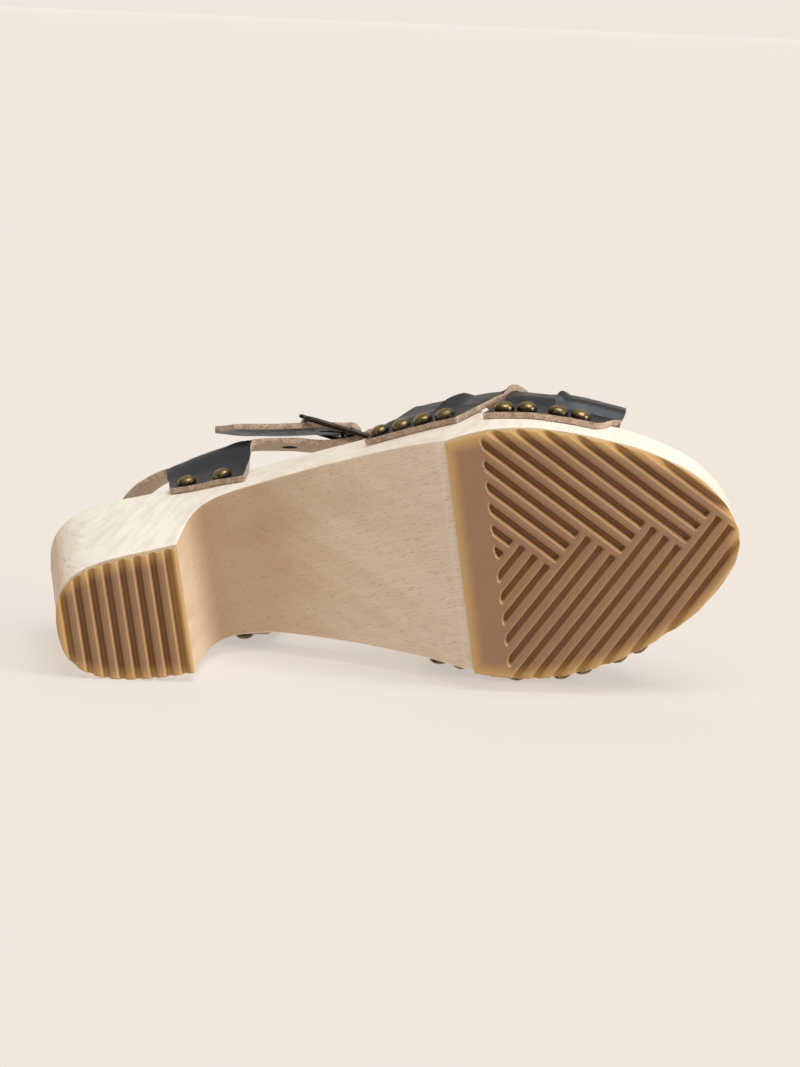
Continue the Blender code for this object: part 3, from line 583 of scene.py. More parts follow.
def beech():
    """Fine grain, broad bands aslant and short dark flecks. Painted light: the sides are paler and their
    flecks fainter.
    """
    look, tree, shader = new_look("beech", 0.55)
    fine = soft_noise(tree, GRAIN_TURN, (120, 1800, 60), 4.0)
    bands = soft_noise(tree, GRAIN_TURN, (9, 90, 20), 3.0)
    wide = soft_noise(tree, -35, (8, 110, 8), 2.0)
    flecks = []
    for size, turn in (((200, 1500, 25), GRAIN_TURN), ((250, 2000, 30), GRAIN_TURN + 3)):
        place = worn_place(tree, turn, size)
        cells = node(tree, "ShaderNodeTexVoronoi", {"feature": "F1"}, Vector=place, Scale=1.0)
        dash = ramp(tree, cells.outputs["Distance"], (0.0, 1.0), (0.12, 0.9), (0.24, 0.0))
        chosen = node(tree, "ShaderNodeSeparateColor", Color=cells.outputs["Color"]).outputs[0]
        flecks.append(math_node(tree, "MULTIPLY", dash, ramp(tree, chosen, (0.05, 0.0), (0.70, 1.0))))
    ray = math_node(tree, "MAXIMUM", *flecks)
    along = node(tree, "ShaderNodeSeparateXYZ", Vector=worn_place(tree)).outputs[0]
    # Painted light: the sides, facing up and down as the shoe lies, are made paler and their flecks fainter
    normal = node(tree, "ShaderNodeTexCoord").outputs["Normal"]
    facing = node(tree, "ShaderNodeSeparateXYZ", Vector=normal).outputs[2]
    side = ramp(tree, math_node(tree, "ABSOLUTE", facing), (0.35, 0.0), (0.85, 1.0))
    tones = (0.3, (0.61, 0.445, 0.29)), (0.5, (0.68, 0.52, 0.36)), (0.72, (0.74, 0.59, 0.43))
    base = ramp(tree, bands, *tones)
    base = mix(tree, ramp(tree, wide, (0.44, 0.0), (0.60, 0.5)), base, (0.80, 0.67, 0.53))
    share = math_node(tree, "DIVIDE", along, WOOD_RAMP)
    base = mix(tree, ramp(tree, share, (0.38, 0.0), (0.69, 0.62)), base, (0.83, 0.71, 0.59))
    # Painted shade: darker where the heel breast curves into the waist
    base = mix(tree, ramp(tree, share, (0.22, 0.1), (0.27, 0.80), (0.50, 0.0)), base, (0.43, 0.265, 0.155))
    raw_x = (FORE_X - RAW_STRIP) / WOOD_RAMP
    base = mix(tree, ramp(tree, share, (raw_x, 0.0), (raw_x + 0.004, 0.4)), base, (0.93, 0.84, 0.73))
    # Painted light: the pale colour of the lit sides
    painted_lit_side = mix(tree, ramp(tree, share, (0.28, 0.0), (0.62, 1.0)), (0.97, 0.91, 0.82), (0.95, 0.86, 0.75))
    toe = ramp(tree, math_node(tree, "DIVIDE", along, TOE_RAMP), (0.80, 0.0), (0.93, 0.8))
    base = mix(tree, toe, base, (0.66, 0.58, 0.49))
    base = mix(tree, math_node(tree, "MULTIPLY", side, 0.93), base, painted_lit_side)
    base = mix(tree, ramp(tree, fine, (0.35, 0.25), (0.6, 0.0)), base, (0.52, 0.36, 0.23))
    # Painted light: the flecks fade on the lit sides
    faint = math_node(tree, "SUBTRACT", 0.55, math_node(tree, "MULTIPLY", side, 0.45))
    base = mix(tree, math_node(tree, "MULTIPLY", ray, faint), base, (0.27, 0.16, 0.08))
    tree.links.new(base, shader.inputs["Base Color"])
    tree.links.new(ramp(tree, fine, (0.3, 0.62), (0.7, 0.5)), shader.inputs["Roughness"])
    height = math_node(tree, "SUBTRACT", fine, ray)
    bump(tree, shader, height, 0.04 * MM, 0.5)
    return look


def gum_rubber():
    """Brown on top; amber and dark in the grooves, partly painted shade, with painted highlights on the lips.
    Painted light makes the rim golden and the walls pale. shade is 0 on top, 1 down a groove and over 1 on
    the rim; glow is 1 at the rim and 0 well inside it."""
    look, tree, shader = new_look("gum rubber", 0.40, coat=0.12)
    shade = node(tree, "ShaderNodeAttribute", {"attribute_name": "shade"}).outputs["Fac"]
    glow = node(tree, "ShaderNodeAttribute", {"attribute_name": "glow"}).outputs["Fac"]
    cloud = soft_noise(tree, 0, (60, 60, 60), 3.0)
    grain = soft_noise(tree, 0, (2500, 2500, 2500), 2.0)
    half = math_node(tree, "MULTIPLY", shade, 0.5)
    # Painted highlight on the groove lips (0.10), painted shade deep in the grooves (0.28 to 0.5), painted
    # light on the rim and walls (0.75 to 1)
    base = ramp(
        tree, half, (0.0, (0.27, 0.142, 0.069)), (0.10, (0.44, 0.285, 0.145)), (0.28, (0.30, 0.140, 0.044)),
        (0.5, (0.185, 0.072, 0.020)), (0.75, (0.55, 0.40, 0.21)), (1.0, (0.58, 0.48, 0.35))
    )
    base = mix(tree, ramp(tree, cloud, (0.4, 0.0), (0.65, 0.3)), base, (0.24, 0.125, 0.080))
    # Painted light: a golden glow through the rubber near the rim
    base = mix(tree, ramp(tree, glow, (0.0, 0.0), (1.0, 0.7)), base, (0.56, 0.34, 0.12))
    tree.links.new(base, shader.inputs["Base Color"])
    shader.inputs["Subsurface Weight"].default_value = 0.08
    shader.inputs["Subsurface Radius"].default_value = (1.0, 0.45, 0.15)
    shader.inputs["Subsurface Scale"].default_value = 0.8 * MM
    bump(tree, shader, grain, 0.03 * MM, 0.5)
    return look


def grain_leather():
    look, tree, shader = new_look("black leather", 0.36, coat=0.05)
    place = worn_place(tree, 0, (2600, 2600, 2600))
    pores = node(tree, "ShaderNodeTexVoronoi", {"feature": "F1"}, Vector=place, Scale=1.0)
    folds = soft_noise(tree, 30, (350, 120, 200), 3.0)
    base = ramp(tree, folds, (0.35, (0.005, 0.007, 0.012)), (0.7, (0.012, 0.015, 0.023)))
    tree.links.new(base, shader.inputs["Base Color"])
    tree.links.new(ramp(tree, folds, (0.3, 0.34), (0.7, 0.50)), shader.inputs["Roughness"])
    pitted = math_node(tree, "MULTIPLY", pores.outputs["Distance"], 0.12)
    height = math_node(tree, "ADD", pitted, folds)
    bump(tree, shader, height, 0.25 * MM, 0.5)
    return look


def raw_leather(name, pale, dark, depth):
    """The cut edge or the flesh side: loose tan fibres."""
    look, tree, shader = new_look(name, 0.9)
    fibres = soft_noise(tree, 20, (900, 2600, 2600), 5.0)
    spots = soft_noise(tree, 0, (400, 400, 400), 3.0)
    base = ramp(tree, fibres, (0.3, dark), (0.55, pale))
    base = mix(tree, ramp(tree, spots, (0.45, 0.0), (0.62, 0.5)), base, dark)
    tree.links.new(base, shader.inputs["Base Color"])
    shader.inputs["Sheen Weight"].default_value = 0.3
    shader.inputs["Sheen Roughness"].default_value = 0.6
    bump(tree, shader, fibres, depth, 0.9)
    return look


def antique(name, pale, dark, roughness):
    """Metal with a patina that gathers at the rim. shade is 0 on top and 1 at the rim."""
    look, tree, shader = new_look(name, roughness, metallic=1.0)
    shade = node(tree, "ShaderNodeAttribute", {"attribute_name": "shade"}).outputs["Fac"]
    spots = soft_noise(tree, 0, (700, 700, 700), 4.0)
    dirt = math_node(tree, "ADD", shade, spots)
    base = ramp(tree, dirt, (0.42, pale), (0.72, tuple((a + b) / 2 for a, b in zip(pale, dark))), (1.0, dark))
    tree.links.new(base, shader.inputs["Base Color"])
    dull = ramp(tree, spots, (0.35, roughness), (0.7, roughness + 0.2))
    tree.links.new(dull, shader.inputs["Roughness"])
    bump(tree, shader, spots, 0.08 * MM, 0.4)
    return look


# The wood


def arc_corner(before, corner, after, radius, steps):
    """Points that round a corner between its two neighbours."""
    one, two = (before - corner).normalized(), (after - corner).normalized()
    start, end = corner + one * radius, corner + two * radius
    turns = [step / steps for step in range(steps + 1)]
    return [start.lerp(corner, t).lerp(corner.lerp(end, t), t) for t in turns]


def wood(look):
    bm = bmesh.new()
    rings = []
    last = len(STATIONS) - 1
    heel_end, toe_end = np.linspace(0, 1, 12)[:-1], np.linspace(last - 1, last, 12)[1:]
    for at in np.concatenate([heel_end, np.linspace(1, last - 1, 200), toe_end]):
        x, outer, inner, top = top_edge(at)
        base_x, base_outer, base_inner, low = base_edge(at)
        corners = [
            Vector((x, outer, top)), Vector((x, inner, top)), Vector((base_x, base_inner, low)),
            Vector((base_x, base_outer, low)),
        ]
        middle, half = (outer + inner) / 2, (inner - outer) / 2
        dish = FOOTBED_DISH * min(1, 4 * half / BALL_WIDTH) ** 2
        ring = []
        for here, corner in enumerate(corners):
            before, after = corners[here - 1], corners[(here + 1) % 4]
            edge = WOOD_EDGE if here < 2 else 0.7 * MM
            edge = min(edge, 0.3 * (after - corner).length, 0.3 * (before - corner).length)
            ring += arc_corner(before, corner, after, edge, 5)
            leave = ring[-1]
            enter = after + (corner - after).normalized() * edge
            pieces = (16, 6, 14, 6)[here]
            side = [leave.lerp(enter, step / pieces) for step in range(1, pieces)]
            ring += side
        for number, point in enumerate(ring):
            if 2 < number < 6 + 15 + 3:
                share = min(1, abs(point.y - middle) / half)
                point.z -= dish * (1 - share * share)
        rings.append(ring)
    skin(bm, rings)
    outward(bm)
    return finish_piece("wood", bm, [look], ["wooden_sole"])


# The rubber


def step_up(value, width):
    """0 to 1 as a value goes from 0 to a width, with soft ends."""
    return ease(value / width)


def heel_groove(x, y):
    """How deep the heel's tread is, 0 on a ridge and 1 on a floor."""
    place = HEEL_BASE_LENGTH - HEEL_LAND - x
    line = round(place / TREAD_PITCH)
    if line < 0 or HEEL_BASE_LENGTH - HEEL_LAND - line * TREAD_PITCH < TREAD_PITCH / 2:
        return 0.0
    gap = abs(place - line * TREAD_PITCH)
    return 1 - step_up(gap - GROOVE_FLOOR / 2, (GROOVE_WIDTH - GROOVE_FLOOR) / 2 + GROOVE_LIP)


def forefoot_groove(x, y):
    """The same for the forefoot's parquet of three and three."""
    slant = math.sqrt(0.5)
    corner_x = FORE_X + TREAD_CORNER * FOREFOOT_LENGTH
    ax, ay = x - corner_x, y - (TREAD_CENTRE - TREAD_PITCH)
    start_x = FORE_X + SMOOTH_BAND
    found = 0.0
    rib = (TREAD_PITCH - GROOVE_WIDTH) / 2
    for run_y, side_y, behind in ((slant, -slant, 0), (-slant, slant, 1)):
        along, across = ax * slant + ay * run_y, ax * slant + ay * side_y
        group = math.floor(across / (3 * TREAD_PITCH)) + 1
        line = math.floor((across - 3 * TREAD_PITCH * (group - 1)) / TREAD_PITCH)
        centre = 3 * TREAD_PITCH * (group - 1) + TREAD_PITCH * (line + 0.5)
        gap = abs(across - centre)
        stop = 3 * TREAD_PITCH * (group - behind) - rib
        inside = stop - along
        end_x = corner_x + slant * (centre + stop)
        if inside < 0 or end_x < start_x + TREAD_PITCH / 2:
            continue
        from_band = (x - start_x) / slant
        tip = max(0, 1 - from_band / (GROOVE_WIDTH / 2)) * GROOVE_WIDTH / 2
        gap = math.hypot(gap, tip) if from_band > -GROOVE_WIDTH / 3 else GROOVE_WIDTH
        wall = (GROOVE_WIDTH - GROOVE_FLOOR) / 2 + GROOVE_LIP
        deep = 1 - step_up(gap - GROOVE_FLOOR / 2, wall)
        found = max(found, deep * step_up(inside, 0.8 * MM))
    return found


def rubber(name, node_name, first, last, groove, look, spacing=0.42 * MM):
    """A sheet of rubber with its tread, as a fine grid of the ground side closed by its walls and top."""
    bm = bmesh.new()
    dense = np.linspace(first, last, 400)
    edges = [base_edge(at) for at in dense]
    length = edges[-1][0] - edges[0][0]
    places = np.linspace(edges[0][0], edges[-1][0], max(8, round(length / spacing)))
    xs = np.array([edge[0] for edge in edges])
    outer = np.interp(places, xs, [edge[1] + RUBBER_INSET for edge in edges])
    inner = np.interp(places, xs, [edge[2] - RUBBER_INSET for edge in edges])
    tops = np.interp(places, xs, [edge[3] - CLEARANCE for edge in edges])
    across = round(BALL_WIDTH / spacing)
    soft = 0.9 * MM
    rings, values, glows = [], [], []
    for x, low, high, top in zip(places, outer, inner, tops):
        ring, shades, rims = [], [], []
        for y in np.linspace(low, high, across):
            rim = min(y - low, high - y, x - places[0] + soft if first > 0 else x - places[0], places[-1] - x)
            edge = soft - math.sqrt(max(0, soft * soft - max(0, soft - rim) ** 2)) if rim < soft else 0
            deep = groove(x, y)
            ring.append((x, y, spring(x) + max(edge * (1 - deep), GROOVE_DEPTH * deep)))
            # shade runs to 1 down a groove, painted shade, and to 1.5 on the rounded rim, painted light
            shades.append(max(deep, 1.5 * (1 - step_up(rim, soft))))
            # glow paints light shining through the rubber near the rim
            rims.append(float(1 - step_up(rim, RIM_GLOW)))
        base = max(ring[0][2], ring[-1][2])
        # The walls' shade values paint them pale, as lit: painted light
        for y, z, shade in ((high, 0.55, 1.8), (high, 1.0, 2.0), (low, 1.0, 2.0), (low, 0.55, 1.8)):
            ring.append((x, y, base + (top - base) * z))
            shades.append(shade)
            rims.append(0)
        rings.append(ring)
        values.append(shades)
        glows.append(rims)
    skin(bm, rings, values=values, glows=glows)
    outward(bm)
    return finish_piece(name, bm, [look], [node_name])


# The straps

EDGE_STEPS = 3


def strap_ring(line, normals, thick, seed, fuzz=0.18 * MM):
    """A ring round a strap's cross-section from its inner line: outer face, edge, inner face, edge."""
    inner = [Vector(point) for point in line]
    outer = [point + normal * thick for point, normal in zip(inner, normals)]
    ring = list(outer)
    for a, b in ((outer[-1], inner[-1]), (inner[0], outer[0])):
        out = (outer[-1] - outer[-2] if a is outer[-1] else outer[0] - outer[1]).normalized()
        for step in range(1, EDGE_STEPS + 1):
            t = step / (EDGE_STEPS + 1)
            point = a.lerp(b, t) + out * math.sin(math.pi * t) * 0.18 * MM
            ring.append(point + out * rough(point, 0.7 * MM, fuzz, seed))
        if a is outer[-1]:
            ring += inner[::-1]
    return ring


def strap_looks(count):
    """Each side's material in such a ring: 0 the grain, 1 the raw edge, 2 the flesh side."""
    edge = [1] * (EDGE_STEPS + 1)
    return [0] * (count - 1) + edge + [2] * (count - 1) + edge


def along_forefoot(x):
    return (x - FORE_X) / FOREFOOT_LENGTH


def column(table, value):
    """The second column of a table of two, at a value of the first."""
    first, second = zip(*table)
    return float(steady(first, second, np.clip(value, first[0], first[-1])))


def foot_height(x):
    """Height of the toe straps' inside over the footbed."""
    return TOE_HEIGHT + column(FOOT_RISE, along_forefoot(x)) * (INSTEP_HEIGHT - TOE_HEIGHT)


def vamp(x, t):
    """A point of the toe straps' inner face. t runs from the outer side's wood, 0, to the inner side's, 1."""
    _, outer, inner, top = top_at(x)
    half_t = min(t, 1 - t) * 2
    side = -1 if t < 0.5 else 1
    if half_t < ON_WOOD:
        z = top - STRAP_DROP * (1 - half_t / ON_WOOD)
        return Vector((x, wall_y(x, z, side) + side * CLEARANCE, z))
    sides, heights = zip(*ARCH)
    place = (half_t - ON_WOOD) / (1 - ON_WOOD) * (len(ARCH) - 1)
    rows = np.arange(len(ARCH))
    middle, half = (outer + inner) / 2, (inner - outer) / 2 + CLEARANCE
    share = float(steady(rows, sides, place))
    if side < 0:
        share += column(OUTER_SPREAD, along_forefoot(x)) * float(ease(place)) * share
    height = float(steady(rows, heights, place)) * foot_height(x)
    return Vector((x, middle + side * share * half, top + height))


def strap_middle(strap, t):
    """x of a toe strap's middle line."""
    _, start, end, bow, *_ = strap
    crossed = t - LATE_START * math.sin(2 * math.pi * t) / (2 * math.pi)
    swing = 27 / 4 * t * (1 - t) ** 2
    return FORE_X + (start + (end - start) * crossed + bow * swing) * FOREFOOT_LENGTH


@functools.cache
def strap_half(strap, t):
    """Half of a toe strap's width along x, more where the strap runs aslant."""
    step = 0.01
    before, after = max(0, t - step), min(1, t + step)
    one, two = strap_middle(strap, before), strap_middle(strap, after)
    run = vamp(one, before) - vamp(two, after)
    return strap[4] * TOE_STRAP_WIDTH / 2 * min(WIDEST, run.length / math.hypot(run.y, run.z))


def strap_lift(strap, x, t):
    """How far a toe strap is raised by those that it crosses over."""
    step = LEATHER * LIFT_LENGTH
    lift = 0
    for other in TOE_STRAPS:
        if other[0] in strap[6]:
            distance = abs(x - strap_middle(other, t)) - strap_half(other, t)
            lift = max(lift, float(ease((step - distance) / step)))
    half_t = min(t, 1 - t) * 2
    return lift * float(ease(half_t / ON_WOOD - 1)) * (LEATHER + 0.15 * MM)


def toe_strap_rings(strap, pieces=170, count=15):
    rings = []
    for t in np.linspace(0, 1, pieces + 1):
        line, normals = [], []
        before, after = max(0, t - 0.01), min(1, t + 0.01)
        half = strap_half(strap, t) + rough((t * 0.2, strap[1], 0), 1.5 * MM, 0.1 * MM, 4)
        lap = LAP * float(ease((t - 0.06) / 0.08) * ease((0.6 - t) / 0.2)) if strap[0] == LAPPED else 0
        for across in np.linspace(-1, 1, count):
            x = strap_middle(strap, t) + across * half - (1 - across) / 2 * lap
            here = vamp(x, t)
            out = (vamp(x + MM, t) - vamp(x - MM, t)).cross(vamp(x, after) - vamp(x, before)).normalized()
            # The edges curl up a little and the middle is slack where the strap bends
            curl = across**4 * 0.25 * MM * math.sin(math.pi * t)
            crease = rough((x * 2.2, here.y * 0.9, here.z * 0.9), 7 * MM, 0.16 * MM, 3)
            crease *= math.sin(math.pi * t) ** 0.5
            line.append(here + out * (strap_lift(strap, x, t) + curl + crease))
            normals.append(out)
        rings.append(strap_ring(line, normals, LEATHER, 5))
    return rings


def toe_upper(looks):
    bm = bmesh.new()
    sides = strap_looks(15)
    for strap in TOE_STRAPS:
        skin(bm, toe_strap_rings(strap), sides, ends=(1, 1))
    outward(bm)
    return finish_piece("toe_upper", bm, looks, ["toe_straps"])


def buckle_axes():
    """The buckle's directions: forward along it, up it and outward."""
    turn, lean = math.radians(BUCKLE_TURN), math.radians(BUCKLE_LEAN)
    forward = Vector((math.cos(turn), math.sin(turn), 0))
    up = Vector((-math.sin(turn) * math.sin(lean), math.cos(turn) * math.sin(lean), math.cos(lean)))
    return forward, up, forward.cross(up)


def bar_foot(shift):
    """Where a bar of the buckle, so far ahead of the centre bar, meets the straps' lower edge."""
    along, across = BUCKLE_PLACE
    foot = Vector((along * SOLE_LENGTH, across * HEEL_STRAP_HALF_WIDTH, ANKLE_STRAP_HEIGHT))
    return foot + buckle_axes()[0] * shift


def fold(shift, start, stop, turns):
    """Rows of the strap's middle line round a bar of the buckle, between two directions in degrees."""
    foot = bar_foot(shift)
    radius = BUCKLE_WIRE / 2 + FOLD_GAP + LEATHER / 2
    rows = []
    for angle in np.radians(np.linspace(start, stop, 7)):
        x, y = foot.x + radius * math.cos(angle), foot.y + radius * math.sin(angle)
        rows.append((x, y, 0, BUCKLE_LEAN, 90 + BUCKLE_TURN - 360 * turns, 0))
    return rows


def sized(table):
    return [
        (along * SOLE_LENGTH, across * HEEL_STRAP_HALF_WIDTH, high * ANKLE_STRAP_WIDTH, lean, facing, tab)
        for along, across, high, lean, facing, tab in table
    ]


def ankle_rows(steps):
    """x, y, high, lean, facing and tab along the rear upper's middle line, at its lower edge."""
    rows = sized(FREE_END) + fold(0, -105, 100, 0) + sized(ROUND_ANKLE)
    return through(rows + fold(BUCKLE_FRONT, 5, -190, 1) + sized(TURNED_END), steps)


def tab_foot(x):
    """Height of the heel tabs' lower edge."""
    share = np.clip((x / SOLE_LENGTH - TAB_REAR) / (TAB_FRONT - TAB_REAR), 0, 1)
    return top_at(x)[3] - TAB_DROP_REAR - share * (TAB_DROP_FRONT - TAB_DROP_REAR)


def ankle_surface(row, v, rows=8, tab_rows=4):
    """A point of the rear upper's middle sheet. v runs up from 0 to 1."""
    x, y, high, lean, facing, tab, taper = row
    side = -1 if y < 0 else 1
    slope = math.tan(math.radians(lean))
    aside = Vector((math.cos(math.radians(facing)), math.sin(math.radians(facing)), 0)) * slope
    low = ANKLE_STRAP_HEIGHT + high
    height = ANKLE_STRAP_WIDTH * math.cos(math.radians(lean))
    taper *= height / 2
    foot = tab_foot(x)
    split = tab_rows / rows
    strap_z = low + taper + (height - 2 * taper) * v
    tab_z = foot + (low - foot) * v / split if v < split else low + height * (v - split) / (1 - split)
    z = strap_z + (tab_z - strap_z) * float(ease(tab))
    spot = Vector((x, y, z)) + aside * max(0, z - low)
    if z < low:
        wood_top = top_at(x)[3]
        wall = wall_y(x, min(z, wood_top), side) + side * (CLEARANCE + LEATHER / 2)
        spot.y += (wall - y) * float(ease((low - z) / (low - wood_top)))
    return spot


def box(centre, spans):
    """A cutting box from three directions, each with its near and far end."""
    (one, near, far), (two, low, high), (three, back, front) = spans
    bm = bmesh.new()
    corners = ((near, low), (far, low), (far, high), (near, high))
    skin(bm, [[centre + three * d + one * a + two * b for a, b in corners] for d in (back, front)])
    outward(bm)
    return finish_piece("cutter", bm, [], None)


def ankle_upper(looks, steps=10, count=25):
    path = ankle_rows(steps)
    reach = np.concatenate([[0], np.cumsum(np.linalg.norm(np.diff(path[:, :2], axis=0), axis=1))])
    tapers = [FREE_END_SHARE * float(1 - ease(distance / FREE_END_TAPER)) for distance in reach]
    rows = [(*row, taper) for row, taper in zip(path, tapers)]
    sheet = [[ankle_surface(row, v) for v in np.linspace(0, 1, count)] for row in rows]
    bm = bmesh.new()
    rings = []
    for here, line in enumerate(sheet):
        before, after = sheet[max(0, here - 1)], sheet[min(len(sheet) - 1, here + 1)]
        normals, inner = [], []
        for k, point in enumerate(line):
            up = line[min(count - 1, k + 1)] - line[max(0, k - 1)]
            out = up.cross(after[k] - before[k])
            out.normalize()
            crease = rough((point.x, point.y, point.z * 0.5), 6 * MM, 0.2 * MM, 9)
            inner.append(point + out * (crease - LEATHER / 2))
            normals.append(out)
        rings.append(strap_ring(inner, normals, LEATHER, 11))
    skin(bm, rings, strap_looks(count), ends=(1, 1))
    outward(bm)
    piece = finish_piece("ankle_upper", bm, looks, ["ankle_strap"])
    forward, up, out = buckle_axes()
    centre = bar_foot(0) + up * ANKLE_STRAP_WIDTH / 2
    slot = PRONG_WIRE / 2 + CLEARANCE
    for spans in (
        ((forward, -PRONG_SLOT, 0), (up, -slot, slot), (out, -LEATHER, 2 * LEATHER)),
        ((forward, -LEATHER, 2 * LEATHER), (up, -slot, slot), (out, -2.5 * LEATHER, 2 * LEATHER)),
    ):
        cut_away(piece, box(centre, spans))
    cut_away(piece, strap_hole(path))


def strap_hole(path):
    """A cutter for the oval hole in the strap that runs under the free end."""
    x = STRAP_HOLE * SOLE_LENGTH
    inner = path[path[:, 1] > -LAYERS_APART * HEEL_STRAP_HALF_WIDTH]
    here = inner[inner[:, 1] < 0]
    here = here[np.argsort(abs(here[:, 0] - x))[0]]
    low = ANKLE_STRAP_HEIGHT + here[2]
    slope = math.tan(math.radians(here[3]))
    middle = ANKLE_STRAP_WIDTH * math.cos(math.radians(here[3])) / 2
    rings = []
    for depth in (-2 * LEATHER, 2 * LEATHER):
        ring = []
        for turn in np.linspace(0, 2 * math.pi, 32, endpoint=False):
            up = middle + STRAP_HOLE_HEIGHT / 2 * math.sin(turn)
            y = here[1] + up * slope + depth
            ring.append(Vector((x + STRAP_HOLE_LENGTH / 2 * math.cos(turn), y, low + up)))
        rings.append(ring)
    bm = bmesh.new()
    skin(bm, rings)
    outward(bm)
    return finish_piece("hole", bm, [], None)


# Nails and buckle


def nail_rings(centre, axis, turns=28):
    """A dome nail's head with a rolled rim, its axis pointing out of the leather."""
    aside = axis.orthogonal().normalized()
    ahead = axis.cross(aside)
    radius = NAIL_DIAMETER / 2
    profile = [
        # share of the radius, share of the height, shade
        (0.80, -0.10, 1.2), (0.97, -0.06, 1.2), (1.0, 0.06, 1.1), (0.985, 0.16, 0.9), (0.95, 0.24, 0.55),
    ]
    for a in np.linspace(0.1, 1.5, 9):
        profile.append((math.cos(a) * 0.93, 0.26 + 0.74 * math.sin(a), 0.35 * math.cos(a) ** 3))
    rings, values = [], []
    for wide, high, shade in profile:
        ring = []
        for turn in range(turns):
            angle = 2 * math.pi * turn / turns
            way = aside * math.cos(angle) + ahead * math.sin(angle)
            spot = centre + way * wide * radius + axis * high * NAIL_HEIGHT
            dent = rough(spot, 1.4 * MM, 0.13 * MM, 2)
            ring.append(spot + axis * dent)
        rings.append(ring)
        values.append([shade] * turns)
    return rings, values


def nails(name, places, look, replaced):
    bm = bmesh.new()
    for x, z, side in places:
        slope = (wall_y(x + MM, z, side) - wall_y(x - MM, z, side)) / (2 * MM)
        axis = Vector((-side * slope, side, -WALL_DRAFT)).normalized()
        centre = Vector((x, wall_y(x, z, side) + side * (LEATHER + 1.6 * CLEARANCE), z))
        tilt = Vector((rough(centre, MM, 0.10, 5), 0, rough(centre, MM, 0.10, 6)))
        rings, values = nail_rings(centre, (axis + tilt).normalized())
        skin(bm, rings, values=values)
    outward(bm)
    return finish_piece(name, bm, [look], replaced)


def all_nails(look):
    for side, word in ((-1, "lateral"), (1, "medial")):
        end = (1 + side) / 2
        middles = [strap_middle(strap, end) + strap[5] * (1 - end) * FOREFOOT_LENGTH for strap in TOE_STRAPS]
        xs = sorted(middle + shift * NAIL_SPACING / 2 for middle in middles for shift in (-1, 1))
        places = [(x, top_at(x)[3] - STRAP_DROP + NAIL_RISE, side) for x in xs]
        nails(f"toe_nails_{word}", places, look, [f"toe_nail_{word}_{count}" for count in range(1, 9)])
        xs = [share * SOLE_LENGTH for share in HEEL_NAILS]
        places = [(x, tab_foot(x) + NAIL_RISE, side) for x in xs]
        nails(f"heel_nails_{word}", places, look, [f"heel_nail_{word}_{count}" for count in (1, 2)])


def tube_rings(path, reference, radius, closed=False, sides=16):
    """Rings of a round wire along a flat path. reference is square to the path's plane."""
    count = len(path)
    rings = []
    for here, point in enumerate(path):
        before = path[here - 1] if closed or here else point
        after = path[(here + 1) % count] if closed or here < count - 1 else point
        across = (after - before).cross(reference).normalized()
        turns = [2 * math.pi * step / sides for step in range(sides)]
        ways = [reference * math.cos(turn) + across * math.sin(turn) for turn in turns]
        rings.append([point + way * radius for way in ways])
    return rings


def buckle(look):
    forward, up, out = buckle_axes()
    centre = bar_foot(0) + up * ANKLE_STRAP_WIDTH / 2
    half = ANKLE_STRAP_WIDTH / 2 + BUCKLE_GAP + BUCKLE_WIRE / 2
    path = []
    corners = (
        (BUCKLE_FRONT, half, 0),
        (-BUCKLE_REAR, half, 90),
        (-BUCKLE_REAR, -half, 180),
        (BUCKLE_FRONT, -half, 270),
    )
    for along, high, start in corners:
        inset_along = along - math.copysign(BUCKLE_CORNER, along)
        inset_high = high - math.copysign(BUCKLE_CORNER, high)
        for angle in np.radians(np.linspace(start, start + 90, 12)):
            place_along = inset_along + BUCKLE_CORNER * math.cos(angle)
            place_high = inset_high + BUCKLE_CORNER * math.sin(angle)
            path.append(centre + forward * place_along + up * place_high)
    bm = bmesh.new()
    skin(bm, tube_rings(path, out, BUCKLE_WIRE / 2, closed=True), closed=True)
    skin(bm, tube_rings([centre - up * half, centre + up * half], out, BUCKLE_WIRE / 2))
    outward(bm)
    finish_piece("buckle", bm, [look], ["buckle_frame"])
    reach = BUCKLE_WIRE / 2 + CLEARANCE + PRONG_WIRE / 2
    path = [
        centre + forward * reach * math.cos(angle) + out * reach * math.sin(angle)
        for angle in np.radians(np.linspace(-190, 90, 30))
    ]
    path += [centre + out * reach - forward * BUCKLE_REAR * share for share in (0.4, 0.8, 1.0, 1.1, 1.13)]
    rings = tube_rings(path, up, PRONG_WIRE / 2)
    tip = path[-1]
    rings[-1] = [tip.lerp(point, 0.5) for point in rings[-1]]
    bm = bmesh.new()
    skin(bm, rings)
    outward(bm)
    finish_piece("prong", bm, [look], ["buckle_prong"])


# The stage: camera, floor and light


def camera():
    pitch, roll = math.radians(VIEW_PITCH), math.radians(VIEW_ROLL)
    base = Matrix(((1, 0, 0), (0, -1, 0), (0, 0, -1)))
    axes = Matrix.Rotation(roll, 3, "Z") @ Matrix.Rotation(pitch, 3, "X") @ base
    lens = PIXELS_PER_MM * VIEW_DISTANCE / MM * SENSOR / PHOTO_HEIGHT
    data = bpy.data.cameras.new("camera")
    data.sensor_width = SENSOR
    data.lens = lens
    data.shift_y = VIEW_SHIFT
    data.clip_start = 0.05
    made = bpy.data.objects.new("camera", data)
    place = VIEW_TARGET + axes.transposed() @ Vector((0, 0, VIEW_DISTANCE))
    made.matrix_world = POSE @ Matrix.Translation(place) @ axes.transposed().to_4x4()
    bpy.context.scene.collection.objects.link(made)
    bpy.context.scene.camera = made


BACKDROP = (0.879, 0.799, 0.723)
SKY = (0.47, 0.42, 0.365)
FLOOR_COLOUR = (0.30, 0.28, 0.26)

# The suns, with the way that their light goes
SUNS = (
    # name, strength, colour, angle, way
    ("key", 2.1, (0.90, 0.97, 1.0), 50, (-0.2, 0.3, -1.0)),
    ("toe side", 1.75, (1.0, 0.95, 0.88), 15, (-1.0, 0.42, -0.30)),
)


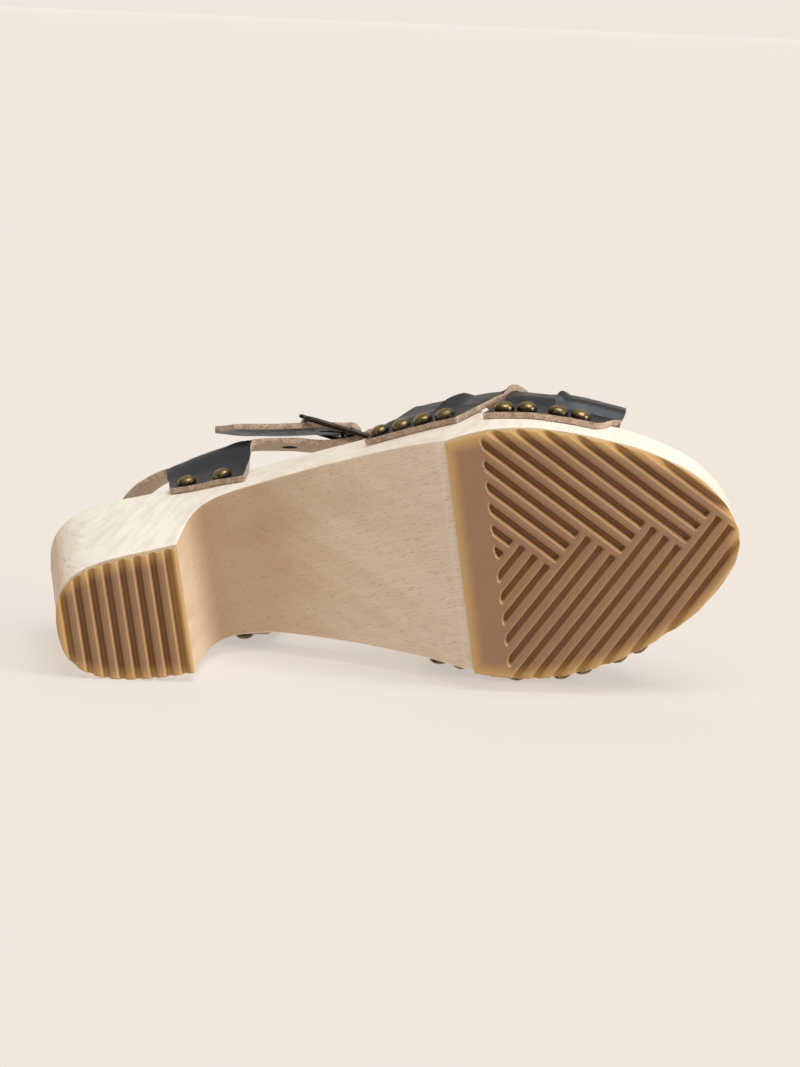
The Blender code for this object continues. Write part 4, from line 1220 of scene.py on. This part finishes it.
def flat_stage(name, colour, glow, corners):
    look, tree, shader = new_look(name, 1.0)
    shader.inputs["Base Color"].default_value = (*colour, 1)
    shader.inputs["Specular IOR Level"].default_value = 0
    shader.inputs["Emission Color"].default_value = (*glow, 1)
    shader.inputs["Emission Strength"].default_value = 1.0
    bm = bmesh.new()
    bm.faces.new([bm.verts.new(corner) for corner in corners])
    made = finish_piece(name, bm, [look], None)
    made.data.transform(POSE.inverted())


def stage():
    lit = Vector(SKY)
    for _, strength, colour, _, way in SUNS:
        lit += Vector(colour) * strength / math.pi * -Vector(way).normalized().z
    glow = tuple(back - floor * light for back, floor, light in zip(BACKDROP, FLOOR_COLOUR, lit))
    size = 40
    ground = [(-size, -size, 0), (size, -size, 0), (size, size, 0), (-size, size, 0)]
    flat_stage("floor", FLOOR_COLOUR, glow, ground)
    wall = [(-size, size, 0), (size, size, 0), (size, size, size / 4), (-size, size, size / 4)]
    flat_stage("backdrop", (0, 0, 0), BACKDROP, wall)
    world = bpy.data.worlds.new("world")
    world.use_nodes = True
    back = world.node_tree.nodes["Background"]
    back.inputs["Color"].default_value = (*SKY, 1)
    back.inputs["Strength"].default_value = 1.0
    bpy.context.scene.world = world
    for name, strength, colour, angle, way in SUNS:
        sun = bpy.data.lights.new(name, "SUN")
        sun.energy = strength
        sun.color = colour
        sun.angle = math.radians(angle)
        made = bpy.data.objects.new(name, sun)
        made.rotation_euler = Vector(way).to_track_quat("-Z", "Y").to_euler()
        bpy.context.scene.collection.objects.link(made)
    bpy.context.scene.view_settings.view_transform = "Standard"


camera()
stage()
wood(beech())
gum = gum_rubber()
rubber("heel_rubber", "heel_lift", 0, HEEL_END, heel_groove, gum)
last_station = len(STATIONS) - 1
rubber("forefoot_rubber", "forefoot_outsole", FOREFOOT_START, last_station, forefoot_groove, gum)
leather = [
    grain_leather(),
    raw_leather("raw edge", (0.58, 0.43, 0.32), (0.21, 0.13, 0.09), 0.3 * MM),
    raw_leather("flesh side", (0.60, 0.46, 0.33), (0.38, 0.27, 0.18), 0.12 * MM),
]
toe_upper(leather)
ankle_upper(leather)
all_nails(antique("antique brass", (0.38, 0.285, 0.125), (0.035, 0.028, 0.018), 0.25))
buckle(antique("dark brass", (0.055, 0.046, 0.038), (0.012, 0.011, 0.010), 0.28))

bpy.context.view_layer.update()
